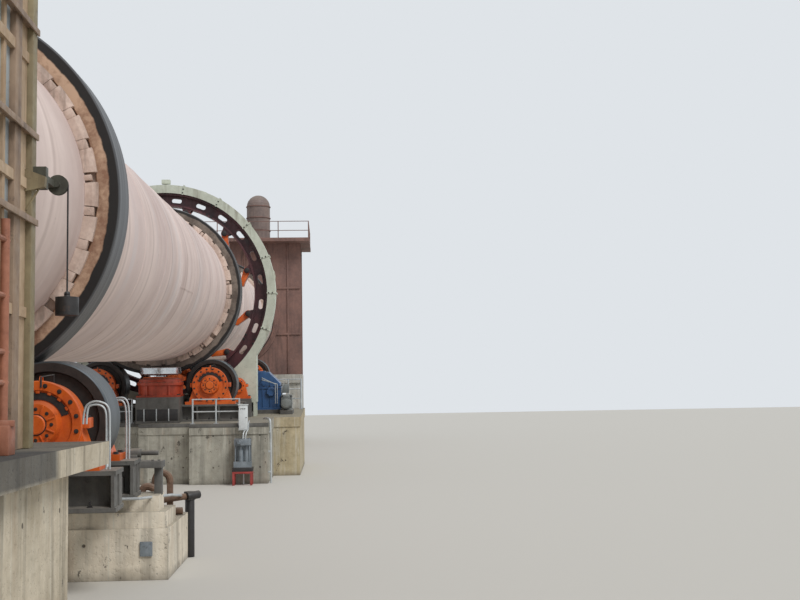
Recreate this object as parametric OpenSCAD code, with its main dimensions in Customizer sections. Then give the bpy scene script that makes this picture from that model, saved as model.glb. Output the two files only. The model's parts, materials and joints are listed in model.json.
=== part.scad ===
// Rotary kiln on three piers, at half the real size. Lengths in millimetres.
// The kiln axis rises along +X. The origin is on the floor, under the middle tyre.

/* [Shell] */
// Outside diameter of the shell
shell_od = 2000; // [1960:10:2010]
// Thickness of the shell plate
shell_t = 16; // [12:1:24]
// Thickness of the brick lining
lining_t = 110; // [80:5:140]
// Rise of the kiln axis, in percent
slope_pct = 3.5; // [3:0.1:4]
// Height of the axis above the floor at the middle tyre
axis_h = 2695; // [2650:5:2750]
// Shell beyond the low tyre
low_overhang = 2500; // [2000:50:3000]
// Distance from the low tyre to the middle tyre
span_low = 9500; // [8800:50:10200]
// Distance from the middle tyre to the high tyre
span_high = 9000; // [8400:50:9600]
// Shell beyond the high tyre
high_overhang = 5000; // [4000:50:5600]

/* [Tyres and pads] */
// Outside diameter of a tyre
tyre_od = 2400; // [2380:5:2460]
// Radial thickness of a tyre
tyre_t = 140; // [120:2:150]
// Width of a tyre
tyre_w = 320; // [280:5:340]
// Number of pads between shell and tyre
pad_count = 32; // [24:1:36]
// Width of the gap between two pads
pad_slot = 62; // [40:2:80]
// How far the pads reach past each side of the tyre
pad_reach = 48; // [40:2:70]

/* [Support rollers] */
// Diameter of a support roller
roller_od = 720; // [680:5:740]
// Width of a support roller
roller_w = 350; // [340:5:380]
// Angle of a roller from the vertical through the axis
roller_angle = 30; // [28:0.5:32]
// Diameter of a roller shaft
shaft_d = 170; // [140:5:200]
// Length of a bearing housing along the axis
housing_w = 190; // [160:5:220]
// Diameter of the round body of a bearing housing
housing_d = 470; // [440:5:490]
// Height of the roller axis above the sole of its housing
housing_h = 270; // [255:5:290]

/* [Thrust roller] */
// Diameter of the thrust roller
thrust_d = 560; // [520:5:600]
// Thickness of the thrust roller
thrust_h = 96; // [80:2:104]
// Height of the thrust roller's lower edge above the lowest point of the tyre
thrust_drop = 10; // [2:1:14]

/* [Girth gear] */
// Distance of the gear from the middle tyre
gear_x = 900; // [880:5:960]
// Module of the teeth
tooth_module = 24; // [23.5:0.5:24.5]
// Teeth on the girth gear
gear_teeth = 130; // [128:2:132]
// Teeth on the pinion
pinion_teeth = 17; // [17:1:18]
// Width of the gear rim
gear_w = 240; // [200:5:260]
// Inside diameter of the gear ring
gear_inner_d = 2670; // [2640:10:2700]
// Play between the teeth
backlash = 4; // [3:0.5:6]
// Angle of the pinion from the vertical through the axis
pinion_angle = 38; // [36:0.5:40]
// Number of spring plates
spring_count = 12; // [12:1:12]
// Thickness of a spring plate
spring_t = 16; // [12:1:20]

/* [Guard] */
// Space between the gear's teeth and the guard
guard_clear = 58; // [50:2:80]
// Depth of the guard's side flanges
guard_flange = 122; // [110:2:130]
// Thickness of the guard plate
guard_t = 8; // [6:1:12]

/* [Foundations] */
// Height of a base frame
frame_h = 235; // [225:5:260]
// Half the width of a pier
pier_half_w = 1620; // [1560:5:1700]
// Length of a pier under one pair of rollers
pier_len = 1100; // [1060:10:1300]
// How far the middle pier reaches towards the low end
pier_front = 1100; // [1060:10:1200]
// How far the middle pier reaches towards the high end
pier_back = 1560; // [1500:10:1700]
// How far the drive pier stands out on the drive side
drive_pier_w = 2010; // [1980:5:2100]
// Where the drive pier begins, past the middle tyre
drive_pier_x = 420; // [400:5:440]
// Length of the drive pier
drive_pier_len = 3000; // [2900:10:3200]
// Height of the cap band round the top of a pier
cap_h = 140; // [120:5:160]
// How far the cap band stands out
cap_out = 14; // [8:1:24]

/* [Ends] */
// Half the width of the discharge hood's casing
hood_half_w = 1075; // [1070:1:1120]
// Length of the discharge hood
hood_len = 1600; // [1400:10:1800]
// Height of the hood's top above the kiln axis
hood_rise = 1500; // [1250:10:1600]
// Depth of the hood's outer columns
column_d = 45; // [35:1:60]
// Height of the platform under the hood
platform_h = 920; // [880:5:960]
// Thickness of the platform slab
slab_t = 115; // [90:5:140]
// Half the width of the platform slab
slab_half_w = 1317; // [1260:1:1360]
// Half the width of the feed chamber
chamber_half_w = 1680; // [1500:10:1760]
// Length of the feed chamber
chamber_len = 1500; // [1300:10:1700]
// Height of the chamber's floor above the ground
chamber_floor = 1750; // [1600:10:1850]
// Height of the feed chamber
chamber_h = 3450; // [3200:10:3600]

/* [Hidden] */
$fn = 96;
fit_gap = 0.4;
ring_gap = 0.9;
slope = asin(slope_pct / 100);
shell_r = shell_od / 2;
bore_r = shell_r - shell_t - lining_t;
tyre_r = tyre_od / 2;
tyre_ri = tyre_r - tyre_t;
x_low = -span_low;
x_high = span_high;
shell_x0 = x_low - low_overhang;
shell_x1 = x_high + high_overhang;
stations = [x_low, 0, x_high];

// Roller axes
roller_r = roller_od / 2;
roller_c = tyre_r + roller_r + fit_gap;
roller_y = roller_c * sin(roller_angle);
roller_z = -roller_c * cos(roller_angle);
neck = 46;
housing_x = roller_w / 2 + neck + housing_w / 2;
cap_t = 56;
sole_z = roller_z - housing_h;
frame_z = sole_z - fit_gap - frame_h;
sole_t = 40;
sole_half = housing_d * 0.74;

// Gear train
gear_rp = tooth_module * gear_teeth / 2;
pinion_rp = tooth_module * pinion_teeth / 2;
gear_c = gear_rp + pinion_rp;
pinion_y = -gear_c * sin(pinion_angle);
pinion_z = -gear_c * cos(pinion_angle);
pinion_dir = 270 - pinion_angle;
pinion_tip_r = pinion_rp + 0.95 * tooth_module;
pinion_shaft_d = 130;
pressure = 20;
gear_tip_r = gear_rp + tooth_module;
gear_ri = gear_inner_d / 2;
guard_r = gear_tip_r + guard_clear + guard_t;
guard_half = gear_w / 2 + 50;

// Places children in the sloping frame of the kiln: X along the axis, origin in the middle tyre.
module on_axis() translate([0, 0, axis_h]) rotate([0, -slope, 0]) children();

// A solid of revolution about X. The profile is drawn as [radius, distance along X].
module spun() rotate([0, 90, 0]) rotate_extrude() children();

// A profile drawn as [y, z], extruded along X from x0 to x1.
module across(x0, x1) translate([x0, 0, 0]) rotate([90, 0, 90]) linear_extrude(x1 - x0) children();

module rod_x(r, x0, x1) translate([x0, 0, 0]) rotate([0, 90, 0]) cylinder(r = r, h = x1 - x0);

module shell() on_axis() color([0.66, 0.60, 0.58]) spun() polygon([
    [shell_r - shell_t, shell_x0], [shell_r, shell_x0],
    [shell_r, shell_x1], [shell_r - shell_t, shell_x1]]);

module lining() on_axis() color([0.55, 0.42, 0.34]) spun() polygon([
    [bore_r, shell_x0 + 60], [shell_r - shell_t - fit_gap, shell_x0 + 60],
    [shell_r - shell_t - fit_gap, shell_x1 - 60], [bore_r, shell_x1 - 60]]);

// Cast ring bolted to the low end of the shell.
module nose_ring() on_axis() color([0.35, 0.33, 0.32]) spun() polygon([
    [bore_r + 20, shell_x0 - 40], [shell_r + 40, shell_x0 - 40], [shell_r + 40, shell_x0 + 150],
    [shell_r + fit_gap, shell_x0 + 150], [shell_r + fit_gap, shell_x0 - fit_gap],
    [bore_r + 20, shell_x0 - fit_gap]]);

// Seal ring round the high end of the shell, with a lip over the end of the plate and half the lining.
dam_in = 60;
module feed_ring() on_axis() color([0.45, 0.28, 0.22]) spun() polygon([
    [bore_r + dam_in, shell_x1 + 40], [shell_r + 70, shell_x1 + 40], [shell_r + 70, shell_x1 - 60],
    [shell_r + fit_gap, shell_x1 - 60], [shell_r + fit_gap, shell_x1 + fit_gap],
    [bore_r + dam_in, shell_x1 + fit_gap]]);

module tyre(x) on_axis() color([0.42, 0.42, 0.43]) spun() polygon([
    [tyre_ri, x - tyre_w / 2 + 8], [tyre_ri + 8, x - tyre_w / 2],
    [tyre_r - 12, x - tyre_w / 2], [tyre_r, x - tyre_w / 2 + 12],
    [tyre_r, x + tyre_w / 2 - 12], [tyre_r - 12, x + tyre_w / 2],
    [tyre_ri + 8, x + tyre_w / 2], [tyre_ri, x + tyre_w / 2 - 8]]);

// Pad ring under a tyre: slotted at both ends, with a stop for the tyre on each pad.
pad_stop = 34;
pad_rise = 16;
module pads(x) on_axis() color([0.62, 0.56, 0.53]) difference() {
    seat = tyre_w / 2 + 4;
    out = tyre_w / 2 + pad_reach;
    spun() polygon([
        [shell_r + ring_gap, x - out], [tyre_ri - pad_rise, x - out],
        [tyre_ri + pad_rise, x - seat - pad_stop], [tyre_ri + pad_rise, x - seat],
        [tyre_ri - ring_gap, x - seat],
        [tyre_ri - ring_gap, x + seat], [tyre_ri + pad_rise, x + seat],
        [tyre_ri + pad_rise, x + seat + pad_stop],
        [tyre_ri - pad_rise, x + out], [shell_r + ring_gap, x + out]]);
    for (i = [0 : pad_count - 1], side = [-1, 1])
        rotate([(i + 0.5) * 360 / pad_count, 0, 0])
            translate([x + side * (tyre_w / 2 + pad_reach / 2), 0, (shell_r + tyre_ri) / 2])
                cube([pad_reach + 40, pad_slot, 4 * (tyre_ri - shell_r)], center = true);
}

// Involute teeth as a closed outline, with a tooth centred on angle 0.
function inv(a) = tan(a) - a * PI / 180;
function half_angle(r, rp, n, play) = let (rb = rp * cos(pressure), q = max(r, rb))
    90 / n - play / rp * 90 / PI + (inv(pressure) - inv(acos(rb / q))) * 180 / PI;
function tooth_points(rp, n, radii, play) = [
    for (i = [0 : n - 1]) each concat(
        [for (r = radii) let (a = i * 360 / n - half_angle(r, rp, n, play)) [r * cos(a), r * sin(a)]],
        [for (k = [len(radii) - 1 : -1 : 0]) let (r = radii[k], a = i * 360 / n + half_angle(r, rp, n, play))
            [r * cos(a), r * sin(a)]])];

spring_r = shell_r + ring_gap + spring_t / 2;
pin_r = gear_ri - 64;
pin_d = 50;
spring_w = 150;
spring_first = 14;
hole_step = 180 / spring_count;
fork_len = 250;
spring_run = sqrt(pin_r * pin_r - spring_r * spring_r);
spring_turn = asin(spring_r / pin_r);
hole_r = gear_ri + 97;
web_t = 60;
rim_in = gear_rp - 60;

// Children are placed at one spring plate: the origin is the pin, +Y runs along the plate to the shell.
module at_spring(i) rotate([spring_first + i * 360 / spring_count, 0, 0]) translate([gear_x, 0, pin_r])
    rotate([-90 - spring_turn, 0, 0]) children();

// One oblong hole in the web of the gear, at angle a.
module web_hole(a) rotate([a, 0, 0]) for (s = [-1, 1]) translate([gear_x - gear_w, s * 44, hole_r])
    rotate([0, 90, 0]) cylinder(d = 66, h = 2 * gear_w);
module web_slot(a) rotate([a, 0, 0]) translate([gear_x, 0, hole_r])
    cube([2 * gear_w, 88, 66], center = true);

module girth_gear() on_axis() color([0.24, 0.12, 0.12]) {
    lug_t = 24;
    difference() {
        union() {
            difference() {
                across(gear_x - gear_w / 2, gear_x + gear_w / 2) rotate(pinion_dir)
                    polygon(tooth_points(gear_rp, gear_teeth,
                        [gear_rp - 1.25 * tooth_module, gear_rp + tooth_module], backlash / 2));
                rod_x(gear_ri, gear_x - gear_w, gear_x + gear_w);
                for (s = [-1, 1]) spun() polygon([
                    [gear_ri + 26, gear_x + s * web_t / 2], [rim_in, gear_x + s * web_t / 2],
                    [rim_in, gear_x + s * gear_w], [gear_ri + 26, gear_x + s * gear_w]]);
                for (s = [-1, 1]) spun() polygon([
                    [gear_ri - 20, gear_x + s * (spring_w / 2 + 40)],
                    [gear_ri + 27, gear_x + s * (spring_w / 2 + 40)],
                    [gear_ri + 27, gear_x + s * gear_w], [gear_ri - 20, gear_x + s * gear_w]]);
            }
            for (i = [0 : spring_count - 1], s = [-1, 1])
                rotate([spring_first + i * 360 / spring_count, 0, 0])
                    translate([gear_x + s * (spring_w / 2 + lug_t / 2 + 3), 0, 0]) rotate([0, 90, 0])
                        linear_extrude(lug_t, center = true) union() {
                            translate([-pin_r, 0]) circle(r = 46);
                            polygon([[-pin_r, -46], [-pin_r, 46], [-gear_ri - 8, 80], [-gear_ri - 8, -80]]);
                        }
        }
        for (i = [0 : 2 * spring_count - 1]) web_hole(spring_first + hole_step * (i + 0.5));
        for (i = [0 : 2 * spring_count - 1]) web_slot(spring_first + hole_step * (i + 0.5));
        for (i = [0 : spring_count - 1]) rotate([spring_first + i * 360 / spring_count, 0, 0])
            translate([gear_x - gear_w, 0, pin_r]) rotate([0, 90, 0])
                cylinder(d = pin_d + 2 * fit_gap, h = 2 * gear_w);
    }
}

module clevis_pins() on_axis() color([0.5, 0.5, 0.5]) for (i = [0 : spring_count - 1])
    rotate([spring_first + i * 360 / spring_count, 0, 0])
        translate([gear_x - gear_w / 2 + 6, 0, pin_r]) rotate([0, 90, 0])
            cylinder(d = pin_d, h = gear_w - 12);

module clevis_forks() on_axis() color([0.85, 0.30, 0.12]) for (i = [0 : spring_count - 1]) at_spring(i)
    rotate([90, 0, 90]) linear_extrude(spring_w, center = true) difference() {
        union() {
            circle(r = 52);
            polygon([[0, -52], [0, 52], [fork_len, 30], [fork_len, -30]]);
        }
        circle(d = pin_d + 2 * fit_gap);
        translate([fork_len * 0.58, 0]) square([fork_len * 0.42, 26], center = true);
    }

module spring_plates() on_axis() color([0.2, 0.2, 0.21]) for (i = [0 : spring_count - 1]) at_spring(i)
    translate([-spring_w / 2, fork_len + fit_gap, -spring_t / 2])
        cube([spring_w, spring_run - fork_len, spring_t]);

// Support roller with its shaft, at station x on side s.
module roller(x, s) on_axis() translate([x, s * roller_y, roller_z]) color([0.40, 0.40, 0.42]) spun()
    polygon([
    [0, -housing_x - housing_w / 2 + 30], [shaft_d / 2, -housing_x - housing_w / 2 + 30],
    [shaft_d / 2, -roller_w / 2 - 12], [shaft_d / 2 + 40, -roller_w / 2 - 12],
    [shaft_d / 2 + 40, -roller_w / 2 + 30],
    [roller_r - 70, -roller_w / 2 + 30], [roller_r - 60, -roller_w / 2], [roller_r - 8, -roller_w / 2],
    [roller_r, -roller_w / 2 + 8], [roller_r, roller_w / 2 - 8],
    [roller_r - 8, roller_w / 2], [roller_r - 60, roller_w / 2], [roller_r - 70, roller_w / 2 - 30],
    [shaft_d / 2 + 40, roller_w / 2 - 30], [shaft_d / 2 + 40, roller_w / 2 + 12],
    [shaft_d / 2, roller_w / 2 + 12],
    [shaft_d / 2, housing_x + housing_w / 2 - 30], [0, housing_x + housing_w / 2 - 30]]);

// One bearing housing, about its own bore. Its closed end points to +X.
module housing() difference() {
    union() {
        spun() polygon([
            [0, -housing_w / 2], [housing_d / 2 - 14, -housing_w / 2], [housing_d / 2, -housing_w / 2 + 14],
            [housing_d / 2, housing_w / 2 - 26], [housing_d / 2 + 14, housing_w / 2 - 26],
            [housing_d / 2 + 14, housing_w / 2], [housing_d / 4 + 18, housing_w / 2],
            [housing_d / 4, housing_w / 2 + cap_t], [0, housing_w / 2 + cap_t]]);
        across(-housing_w / 2, housing_w / 2 - 26) polygon([
            [-housing_d / 2, -40], [housing_d / 2, -40], [sole_half - 50, sole_t - housing_h],
            [-sole_half + 50, sole_t - housing_h]]);
        translate([-housing_w / 2 - 10, -sole_half, -housing_h])
            cube([housing_w + 20, 2 * sole_half, sole_t]);
    }
    rod_x(shaft_d / 2 + fit_gap, -housing_w, housing_w / 2 - 28);
}

module housings(x) on_axis() color([0.87, 0.34, 0.07]) for (s = [-1, 1])
    translate([x, s * roller_y, roller_z]) {
    translate([housing_x, 0, 0]) housing();
    translate([-housing_x, 0, 0]) rotate([0, 0, 180]) housing();
}

// Fabricated base frame: two girders across the kiln, tied along it.
girder_w = 250;
girder_half = roller_y + sole_half + 95;
girder_plate = 26;
girder_web = 22;
stiffener_t = 18;
tie_in = 190;
tie_w = 110;
module girder() {
    for (z = [0, frame_h - girder_plate])
        translate([-girder_w / 2, -girder_half, z]) cube([girder_w, 2 * girder_half, girder_plate]);
    translate([-girder_web / 2, -girder_half, 0]) cube([girder_web, 2 * girder_half, frame_h]);
    for (i = [-4 : 4])
        translate([-girder_w / 2, i * (girder_half - stiffener_t) / 4 - stiffener_t / 2, girder_plate - 1])
            cube([girder_w, stiffener_t, frame_h - 2 * girder_plate + 2]);
}

module base_frame(x) on_axis() translate([x, 0, frame_z]) color([0.16, 0.16, 0.17]) {
    for (s = [-1, 1]) translate([s * housing_x, 0, 0]) girder();
    for (y = [-girder_half + tie_in - tie_w, -tie_w / 2, girder_half - tie_in])
        translate([-housing_x, y, 12]) cube([2 * housing_x, tie_w, frame_h / 2]);
}

// The middle frame also carries a box beam for the thrust roller.
module frame_mid() {
    base_frame(0);
    beam_top = thrust_z - thrust_depth - thrust_sole - fit_gap;
    on_axis() color([0.16, 0.16, 0.17])
        translate([thrust_x - thrust_body_d / 2 - 30, thrust_y - beam_half, frame_z])
            cube([housing_x + girder_w / 2 - thrust_x + thrust_body_d / 2 + 30,
                2 * beam_half, beam_top - frame_z]);
}

// Thrust roller below the middle tyre, on its low side.
thrust_x = -(tyre_w / 2 + thrust_d / 2 + fit_gap);
thrust_y = -100;
thrust_z = -tyre_r + thrust_drop;
thrust_shaft = 120;
thrust_body_d = 600;
thrust_depth = 288;
thrust_sole = 24;
beam_half = thrust_body_d / 2 - 8;
module thrust_roller() on_axis() translate([thrust_x, thrust_y, thrust_z]) color([0.72, 0.73, 0.75])
    rotate_extrude() polygon([
    [0, -210], [thrust_shaft / 2, -210], [thrust_shaft / 2, -20], [thrust_d / 2 - 60, -14],
    [thrust_d / 2 - 14, 0],
    [thrust_d / 2, 8], [thrust_d / 2, thrust_h - 8], [thrust_d / 2 - 8, thrust_h], [thrust_shaft, thrust_h],
    [thrust_shaft - 30, thrust_h - 20], [0, thrust_h - 20]]);

module thrust_housing() on_axis() translate([thrust_x, thrust_y, thrust_z]) color([0.80, 0.28, 0.08])
    difference() {
    r = thrust_body_d / 2;
    union() {
        rotate_extrude() polygon([
            [0, -thrust_depth], [r - 20, -thrust_depth], [r - 10, -160], [r + 16, -150], [r + 16, -112],
            [r, -104], [r - 14, -70], [r - 84, -40], [0, -40]]);
        translate([-r + 6, -beam_half + 2, -thrust_depth - thrust_sole])
            cube([2 * r - 12, 2 * beam_half - 4, thrust_sole + 1]);
        for (a = [30 : 60 : 330]) rotate([0, 0, a]) translate([r - 60, -10, -thrust_depth])
            cube([66, 20, 140]);
    }
    translate([0, 0, -216]) cylinder(d = thrust_shaft + 2 * fit_gap, h = 300);
}

// Ring guard over the gear, open towards the shell and cut away where the pinion meets the gear.
joint_step = 20;
joint_t = 18;
joint_rise = 18;
cover_y0 = pinion_y - pinion_tip_r - 45;
cover_y1 = pinion_y + pinion_tip_r + 59;
cover_low = pinion_z - pinion_tip_r - 30;
module gear_guard() on_axis() color([0.74, 0.77, 0.72]) difference() {
    union() {
        spun() polygon([
            [guard_r - guard_flange, gear_x - guard_half], [guard_r, gear_x - guard_half],
            [guard_r, gear_x + guard_half],
            [guard_r - guard_flange, gear_x + guard_half],
            [guard_r - guard_flange, gear_x + guard_half - guard_t],
            [guard_r - guard_t, gear_x + guard_half - guard_t],
            [guard_r - guard_t, gear_x - guard_half + guard_t],
            [guard_r - guard_flange, gear_x - guard_half + guard_t]]);
        for (a = [joint_step / 2 : joint_step : 360]) rotate([a, 0, 0]) {
            for (x = [gear_x - guard_half - 10, gear_x + guard_half - 6])
                translate([x, -joint_t / 2, guard_r - guard_flange - 8])
                    cube([16, joint_t, guard_flange + 8 + joint_rise]);
            translate([gear_x - guard_half, -joint_t / 2, guard_r - 4])
                cube([2 * guard_half, joint_t, joint_rise + 4]);
        }
        translate([gear_x, 0, guard_r - guard_t / 2]) cylinder(d = 26, h = 50);
        translate([gear_x - 50, -62, guard_r + 36]) cube([100, 124, 62]);
    }
    across(gear_x - guard_half - 60, gear_x + guard_half + 60)
        translate([cover_y0, -guard_r - 100]) square([cover_y1 - cover_y0, guard_r + 100]);
}

// Box over the pinion, joined to the ring guard where that is cut away.
module pinion_cover() on_axis() color([0.74, 0.77, 0.72]) difference() {
    y0 = cover_y0 + fit_gap;
    y1 = cover_y1 - fit_gap;
    across(gear_x - guard_half, gear_x + guard_half) difference() {
        translate([y0, cover_low]) square([y1 - y0, -cover_low]);
        circle(r = guard_r - guard_flange, $fn = 360);
    }
    across(gear_x - guard_half + guard_t, gear_x + guard_half - guard_t) {
        translate([y0 + guard_t, cover_low + guard_t]) square([y1 - y0 - 2 * guard_t, -cover_low]);
        circle(r = gear_tip_r + 25, $fn = 360);
    }
    translate([0, pinion_y, pinion_z])
        rod_x(pinion_shaft_d / 2 + 10, gear_x - 2 * guard_half, gear_x + 2 * guard_half);
}

// Legs that carry the guard on the middle pier, and posts under the pinion cover.
leg_angle = 50;
leg_y = guard_r * sin(leg_angle);
leg_w = 210;
leg_t = 30;
post_w = 40;
module guard_legs() on_axis() color([0.70, 0.73, 0.68]) {
    z0 = frame_z + fit_gap;
    for (x = [gear_x - guard_half, gear_x + guard_half - leg_t]) across(x, x + leg_t) difference() {
        polygon([[leg_y - leg_w - 30, z0], [leg_y + 60, z0], [leg_y + 10, 20 - guard_r * cos(leg_angle)],
            [leg_y - leg_w, 20 - guard_r * cos(leg_angle)]]);
        circle(r = guard_r + joint_rise + 8, $fn = 360);
    }
    across(gear_x - guard_half + leg_t - 1, gear_x + guard_half - leg_t + 1)
        translate([leg_y - leg_w + 20, z0 + 60]) square([leg_w - 60, 40]);
    for (x = [gear_x - guard_half, gear_x + guard_half - post_w], y = [cover_y0 + 10, cover_y1 - post_w - 10])
        translate([x, y, z0]) cube([post_w, post_w, cover_low - fit_gap - z0]);
}

// Pinion with its shaft, on the drive side.
pinion_w = gear_w + 20;
pinion_brg_x = guard_half + 130;
pinion_brg_w = 150;
coupling_l = 190;
reducer_x0 = gear_x + pinion_brg_x + pinion_brg_w / 2 + 300;
module pinion() on_axis() translate([0, pinion_y, pinion_z]) color([0.5, 0.5, 0.52]) {
    across(gear_x - pinion_w / 2, gear_x + pinion_w / 2) rotate(pinion_dir + 180 + 180 / pinion_teeth)
        polygon(tooth_points(pinion_rp, pinion_teeth,
            [for (k = [-1.2, -0.55, 0, 0.5, 0.95]) pinion_rp + k * tooth_module], backlash / 2));
    rod_x(pinion_shaft_d / 2, gear_x - pinion_brg_x - pinion_brg_w / 2 + 20, reducer_x0 - 34);
    rod_x(150, reducer_x0 - coupling_l - 60, reducer_x0 - 60);
}

// Gearbox of the drive: lower case, upper case, ribs, and bearing covers.
bed_t = 60;
bed_half = 200;
bed_past = 320;
foot_z = frame_z + bed_t + fit_gap;
sole_drop = 190;
drive_sole = pinion_z - sole_drop;
module pinion_bearing(x) difference() {
    union() {
        rod_x(120, x - pinion_brg_w / 2, x + pinion_brg_w / 2);
        across(x - pinion_brg_w / 2 + 10, x + pinion_brg_w / 2 - 10)
            polygon([[-118, 0], [118, 0], [150, 34 - sole_drop], [-150, 34 - sole_drop]]);
        translate([x - pinion_brg_w / 2, -bed_half + 10, -sole_drop])
            cube([pinion_brg_w, 2 * bed_half - 20, 36]);
    }
    rod_x(pinion_shaft_d / 2 + fit_gap, x - pinion_brg_w, x + pinion_brg_w);
}

module pinion_bearings() on_axis() color([0.80, 0.28, 0.10]) translate([0, pinion_y, pinion_z])
    for (s = [-1, 1]) pinion_bearing(gear_x + s * pinion_brg_x);

reducer_l = 560;
reducer_wd = 700;
reducer_ht = 590;
reducer_split = 330;
input_y = 160;
input_z = 280;
reducer_out = 605;
reducer_y0 = pinion_y - reducer_out;
module reducer() on_axis() color([0.10, 0.22, 0.40]) translate([reducer_x0, reducer_y0, foot_z]) {
    across(0, reducer_l) polygon([
        [20, 30], [reducer_wd - 20, 30], [reducer_wd - 20, reducer_ht * 0.8],
        [reducer_wd - 110, reducer_ht],
        [200, reducer_ht], [20, reducer_ht * 0.7]]);
    translate([-20, 0, 0]) cube([reducer_l + 40, reducer_wd, 34]);
    translate([-16, 2, reducer_split]) cube([reducer_l + 32, reducer_wd - 4, 30]);
    for (x = [60 : 146 : reducer_l - 40]) translate([x, 6, 30])
        cube([18, reducer_wd - 12, reducer_split - 28]);
    translate([0, pinion_y - reducer_y0, pinion_z - foot_z]) rod_x(92, -30, reducer_l + 30);
    translate([0, input_y, input_z]) rod_x(72, -30, reducer_l + 30);
}

// Electric motor along X, with a ribbed body, a fan cover and feet.
module motor(r, l) {
    rod_x(r * 0.86, 0, l);
    for (x = [0, l * 0.72]) rod_x(r, x, x + 26);
    rod_x(r * 0.92, l * 0.76, l);
    for (a = [0 : 20 : 340]) rotate([a, 0, 0]) translate([0, -4, r * 0.8]) cube([l * 0.73, 8, r * 0.17]);
    translate([l * 0.12, -r, -r - 24]) cube([l * 0.5, 2 * r, 30]);
    translate([l * 0.22, r * 0.7, -r * 0.3]) cube([l * 0.24, r * 0.5, r * 0.6]);
}

motor_l = 640;
motor_r = 150;
motor_foot = 24;
motor_gap = 160;
module main_motor() on_axis() color([0.30, 0.34, 0.38])
    translate([reducer_x0 + reducer_l + 30 + fit_gap, reducer_y0 + input_y, foot_z + input_z]) {
        rod_x(34, 0, motor_gap + 10);
        rod_x(84, 20, 130);
        translate([motor_gap, 0, 0]) motor(motor_r, motor_l);
    }

// Small motor that turns the kiln slowly, with its own gear case beside the gearbox.
barring_r = 80;
barring_l = 330;
barring_case_w = 168;
module barring_motor() on_axis() color([0.52, 0.54, 0.54])
    translate([reducer_x0 - 40, reducer_y0 - barring_case_w / 2 - fit_gap, foot_z + barring_r + motor_foot]) {
        rotate([0, 0, 180]) motor(barring_r, barring_l);
        translate([-1, -barring_case_w / 2, -barring_r - motor_foot]) cube([240, barring_case_w, 230]);
    }

// Steel bed under the gearbox and the motors, with pedestals for the pinion bearings.
module drive_base() on_axis() color([0.20, 0.20, 0.21]) translate([0, 0, frame_z]) {
    bearing_x = pinion_brg_w / 2 + 20;
    x_first = gear_x - pinion_brg_x - bearing_x;
    x_last = reducer_x0 + reducer_l + motor_gap + motor_l + 80;
    y_out = reducer_y0 - barring_case_w - 20;
    foot_x = reducer_x0 + reducer_l + 30 + motor_gap + motor_l * 0.1;
    translate([x_first, pinion_y - bed_half, 0]) cube([reducer_x0 - x_first, 2 * bed_half, bed_t]);
    translate([reducer_x0 - 60, reducer_y0 - 20, 0])
        cube([x_last - reducer_x0 + 60, reducer_wd + 40, bed_t]);
    translate([reducer_x0 - 60 - barring_l, y_out, 0])
        cube([barring_l + bed_past, reducer_y0 - y_out, bed_t]);
    for (s = [-1, 1]) translate([gear_x + s * pinion_brg_x, pinion_y, 0]) {
        for (x = [-bearing_x, bearing_x - 24]) translate([x, -bed_half, bed_t - 1])
            cube([24, 2 * bed_half, drive_sole - frame_z - fit_gap - bed_t + 1]);
        translate([-bearing_x, -bed_half, drive_sole - frame_z - fit_gap - 30])
            cube([2 * bearing_x, 2 * bed_half, 30]);
        for (y = [-bed_half + 30, -12, bed_half - 54]) translate([-bearing_x, y, bed_t - 1])
            cube([2 * bearing_x, 24, drive_sole - frame_z - fit_gap - bed_t]);
    }
    translate([foot_x, reducer_y0 + input_y - motor_r, bed_t - 1])
        cube([motor_l * 0.54, 2 * motor_r, input_z - motor_r - motor_foot + 1]);
}

// Height of the pier tops at a place along X: they follow the slope of the kiln.
function top_at(x) = axis_h + x * tan(slope) + (frame_z - fit_gap) / cos(slope);
function world_x(s) = s * cos(slope) - frame_z * sin(slope);

// Concrete on a footprint, up to a height under the sloping top; with h it is only a band of that height.
module sloped(foot, drop, h = 0) difference() {
    far = 4 * axis_h + span_low;
    linear_extrude(axis_h) polygon(foot);
    on_axis() translate([-far, -far, frame_z - fit_gap - drop]) cube([2 * far, 2 * far, axis_h]);
    if (h > 0) on_axis() translate([-far, -far, frame_z - fit_gap - h - axis_h])
        cube([2 * far, 2 * far, axis_h]);
}

// A pier on its footprint, with a proud cap band on a wider one.
module pier(foot, cap) {
    sloped(foot, cap_h / 2);
    sloped(cap, 0, cap_h);
}

function rect(x0, x1, y0, y1) = [[x0, y0], [x1, y0], [x1, y1], [x0, y1]];

low_front = 770;
low_back = 580;
low_half_w = 1360;
tier_l = 200;
tier_h = 420;
step_l = 740;
step_h = 320;
module pier_low() color([0.66, 0.64, 0.58]) {
    x = world_x(x_low);
    pier(rect(x - low_front, x + low_back, -low_half_w, low_half_w),
        rect(x - low_front - cap_out, x + low_back + cap_out, -low_half_w - cap_out, low_half_w + cap_out));
    translate([x, -low_half_w, 0]) cube([low_back + tier_l, 2 * low_half_w, tier_h]);
    translate([x, -low_half_w, 0]) cube([low_back + tier_l + step_l, 2 * low_half_w, step_h]);
}

module pier_high() color([0.66, 0.64, 0.58]) {
    x0 = world_x(x_high) - pier_len / 2;
    x1 = world_x(x_high) + pier_len / 2;
    pier(rect(x0, x1, -pier_half_w, pier_half_w),
        rect(x0 - cap_out, x1 + cap_out, -pier_half_w - cap_out, pier_half_w + cap_out));
}

// The middle pier steps back from the drive side to the far side.
drive_in = 700;
step_y = [-580, 120];
step_x = [-900, -620];
function mid_foot(out) = [
    [-pier_front - out, -pier_half_w - out], [drive_pier_x, -pier_half_w - out], [drive_pier_x, -drive_in],
    [pier_back + out, -drive_in], [pier_back + out, pier_half_w + out],
    [step_x[1] - out, pier_half_w + out],
    [step_x[1] - out, step_y[1]], [step_x[0] - out, step_y[1]], [step_x[0] - out, step_y[0]],
    [-pier_front - out, step_y[0]]];
module pier_mid() color([0.66, 0.64, 0.58]) pier(mid_foot(0), mid_foot(cap_out));

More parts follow.
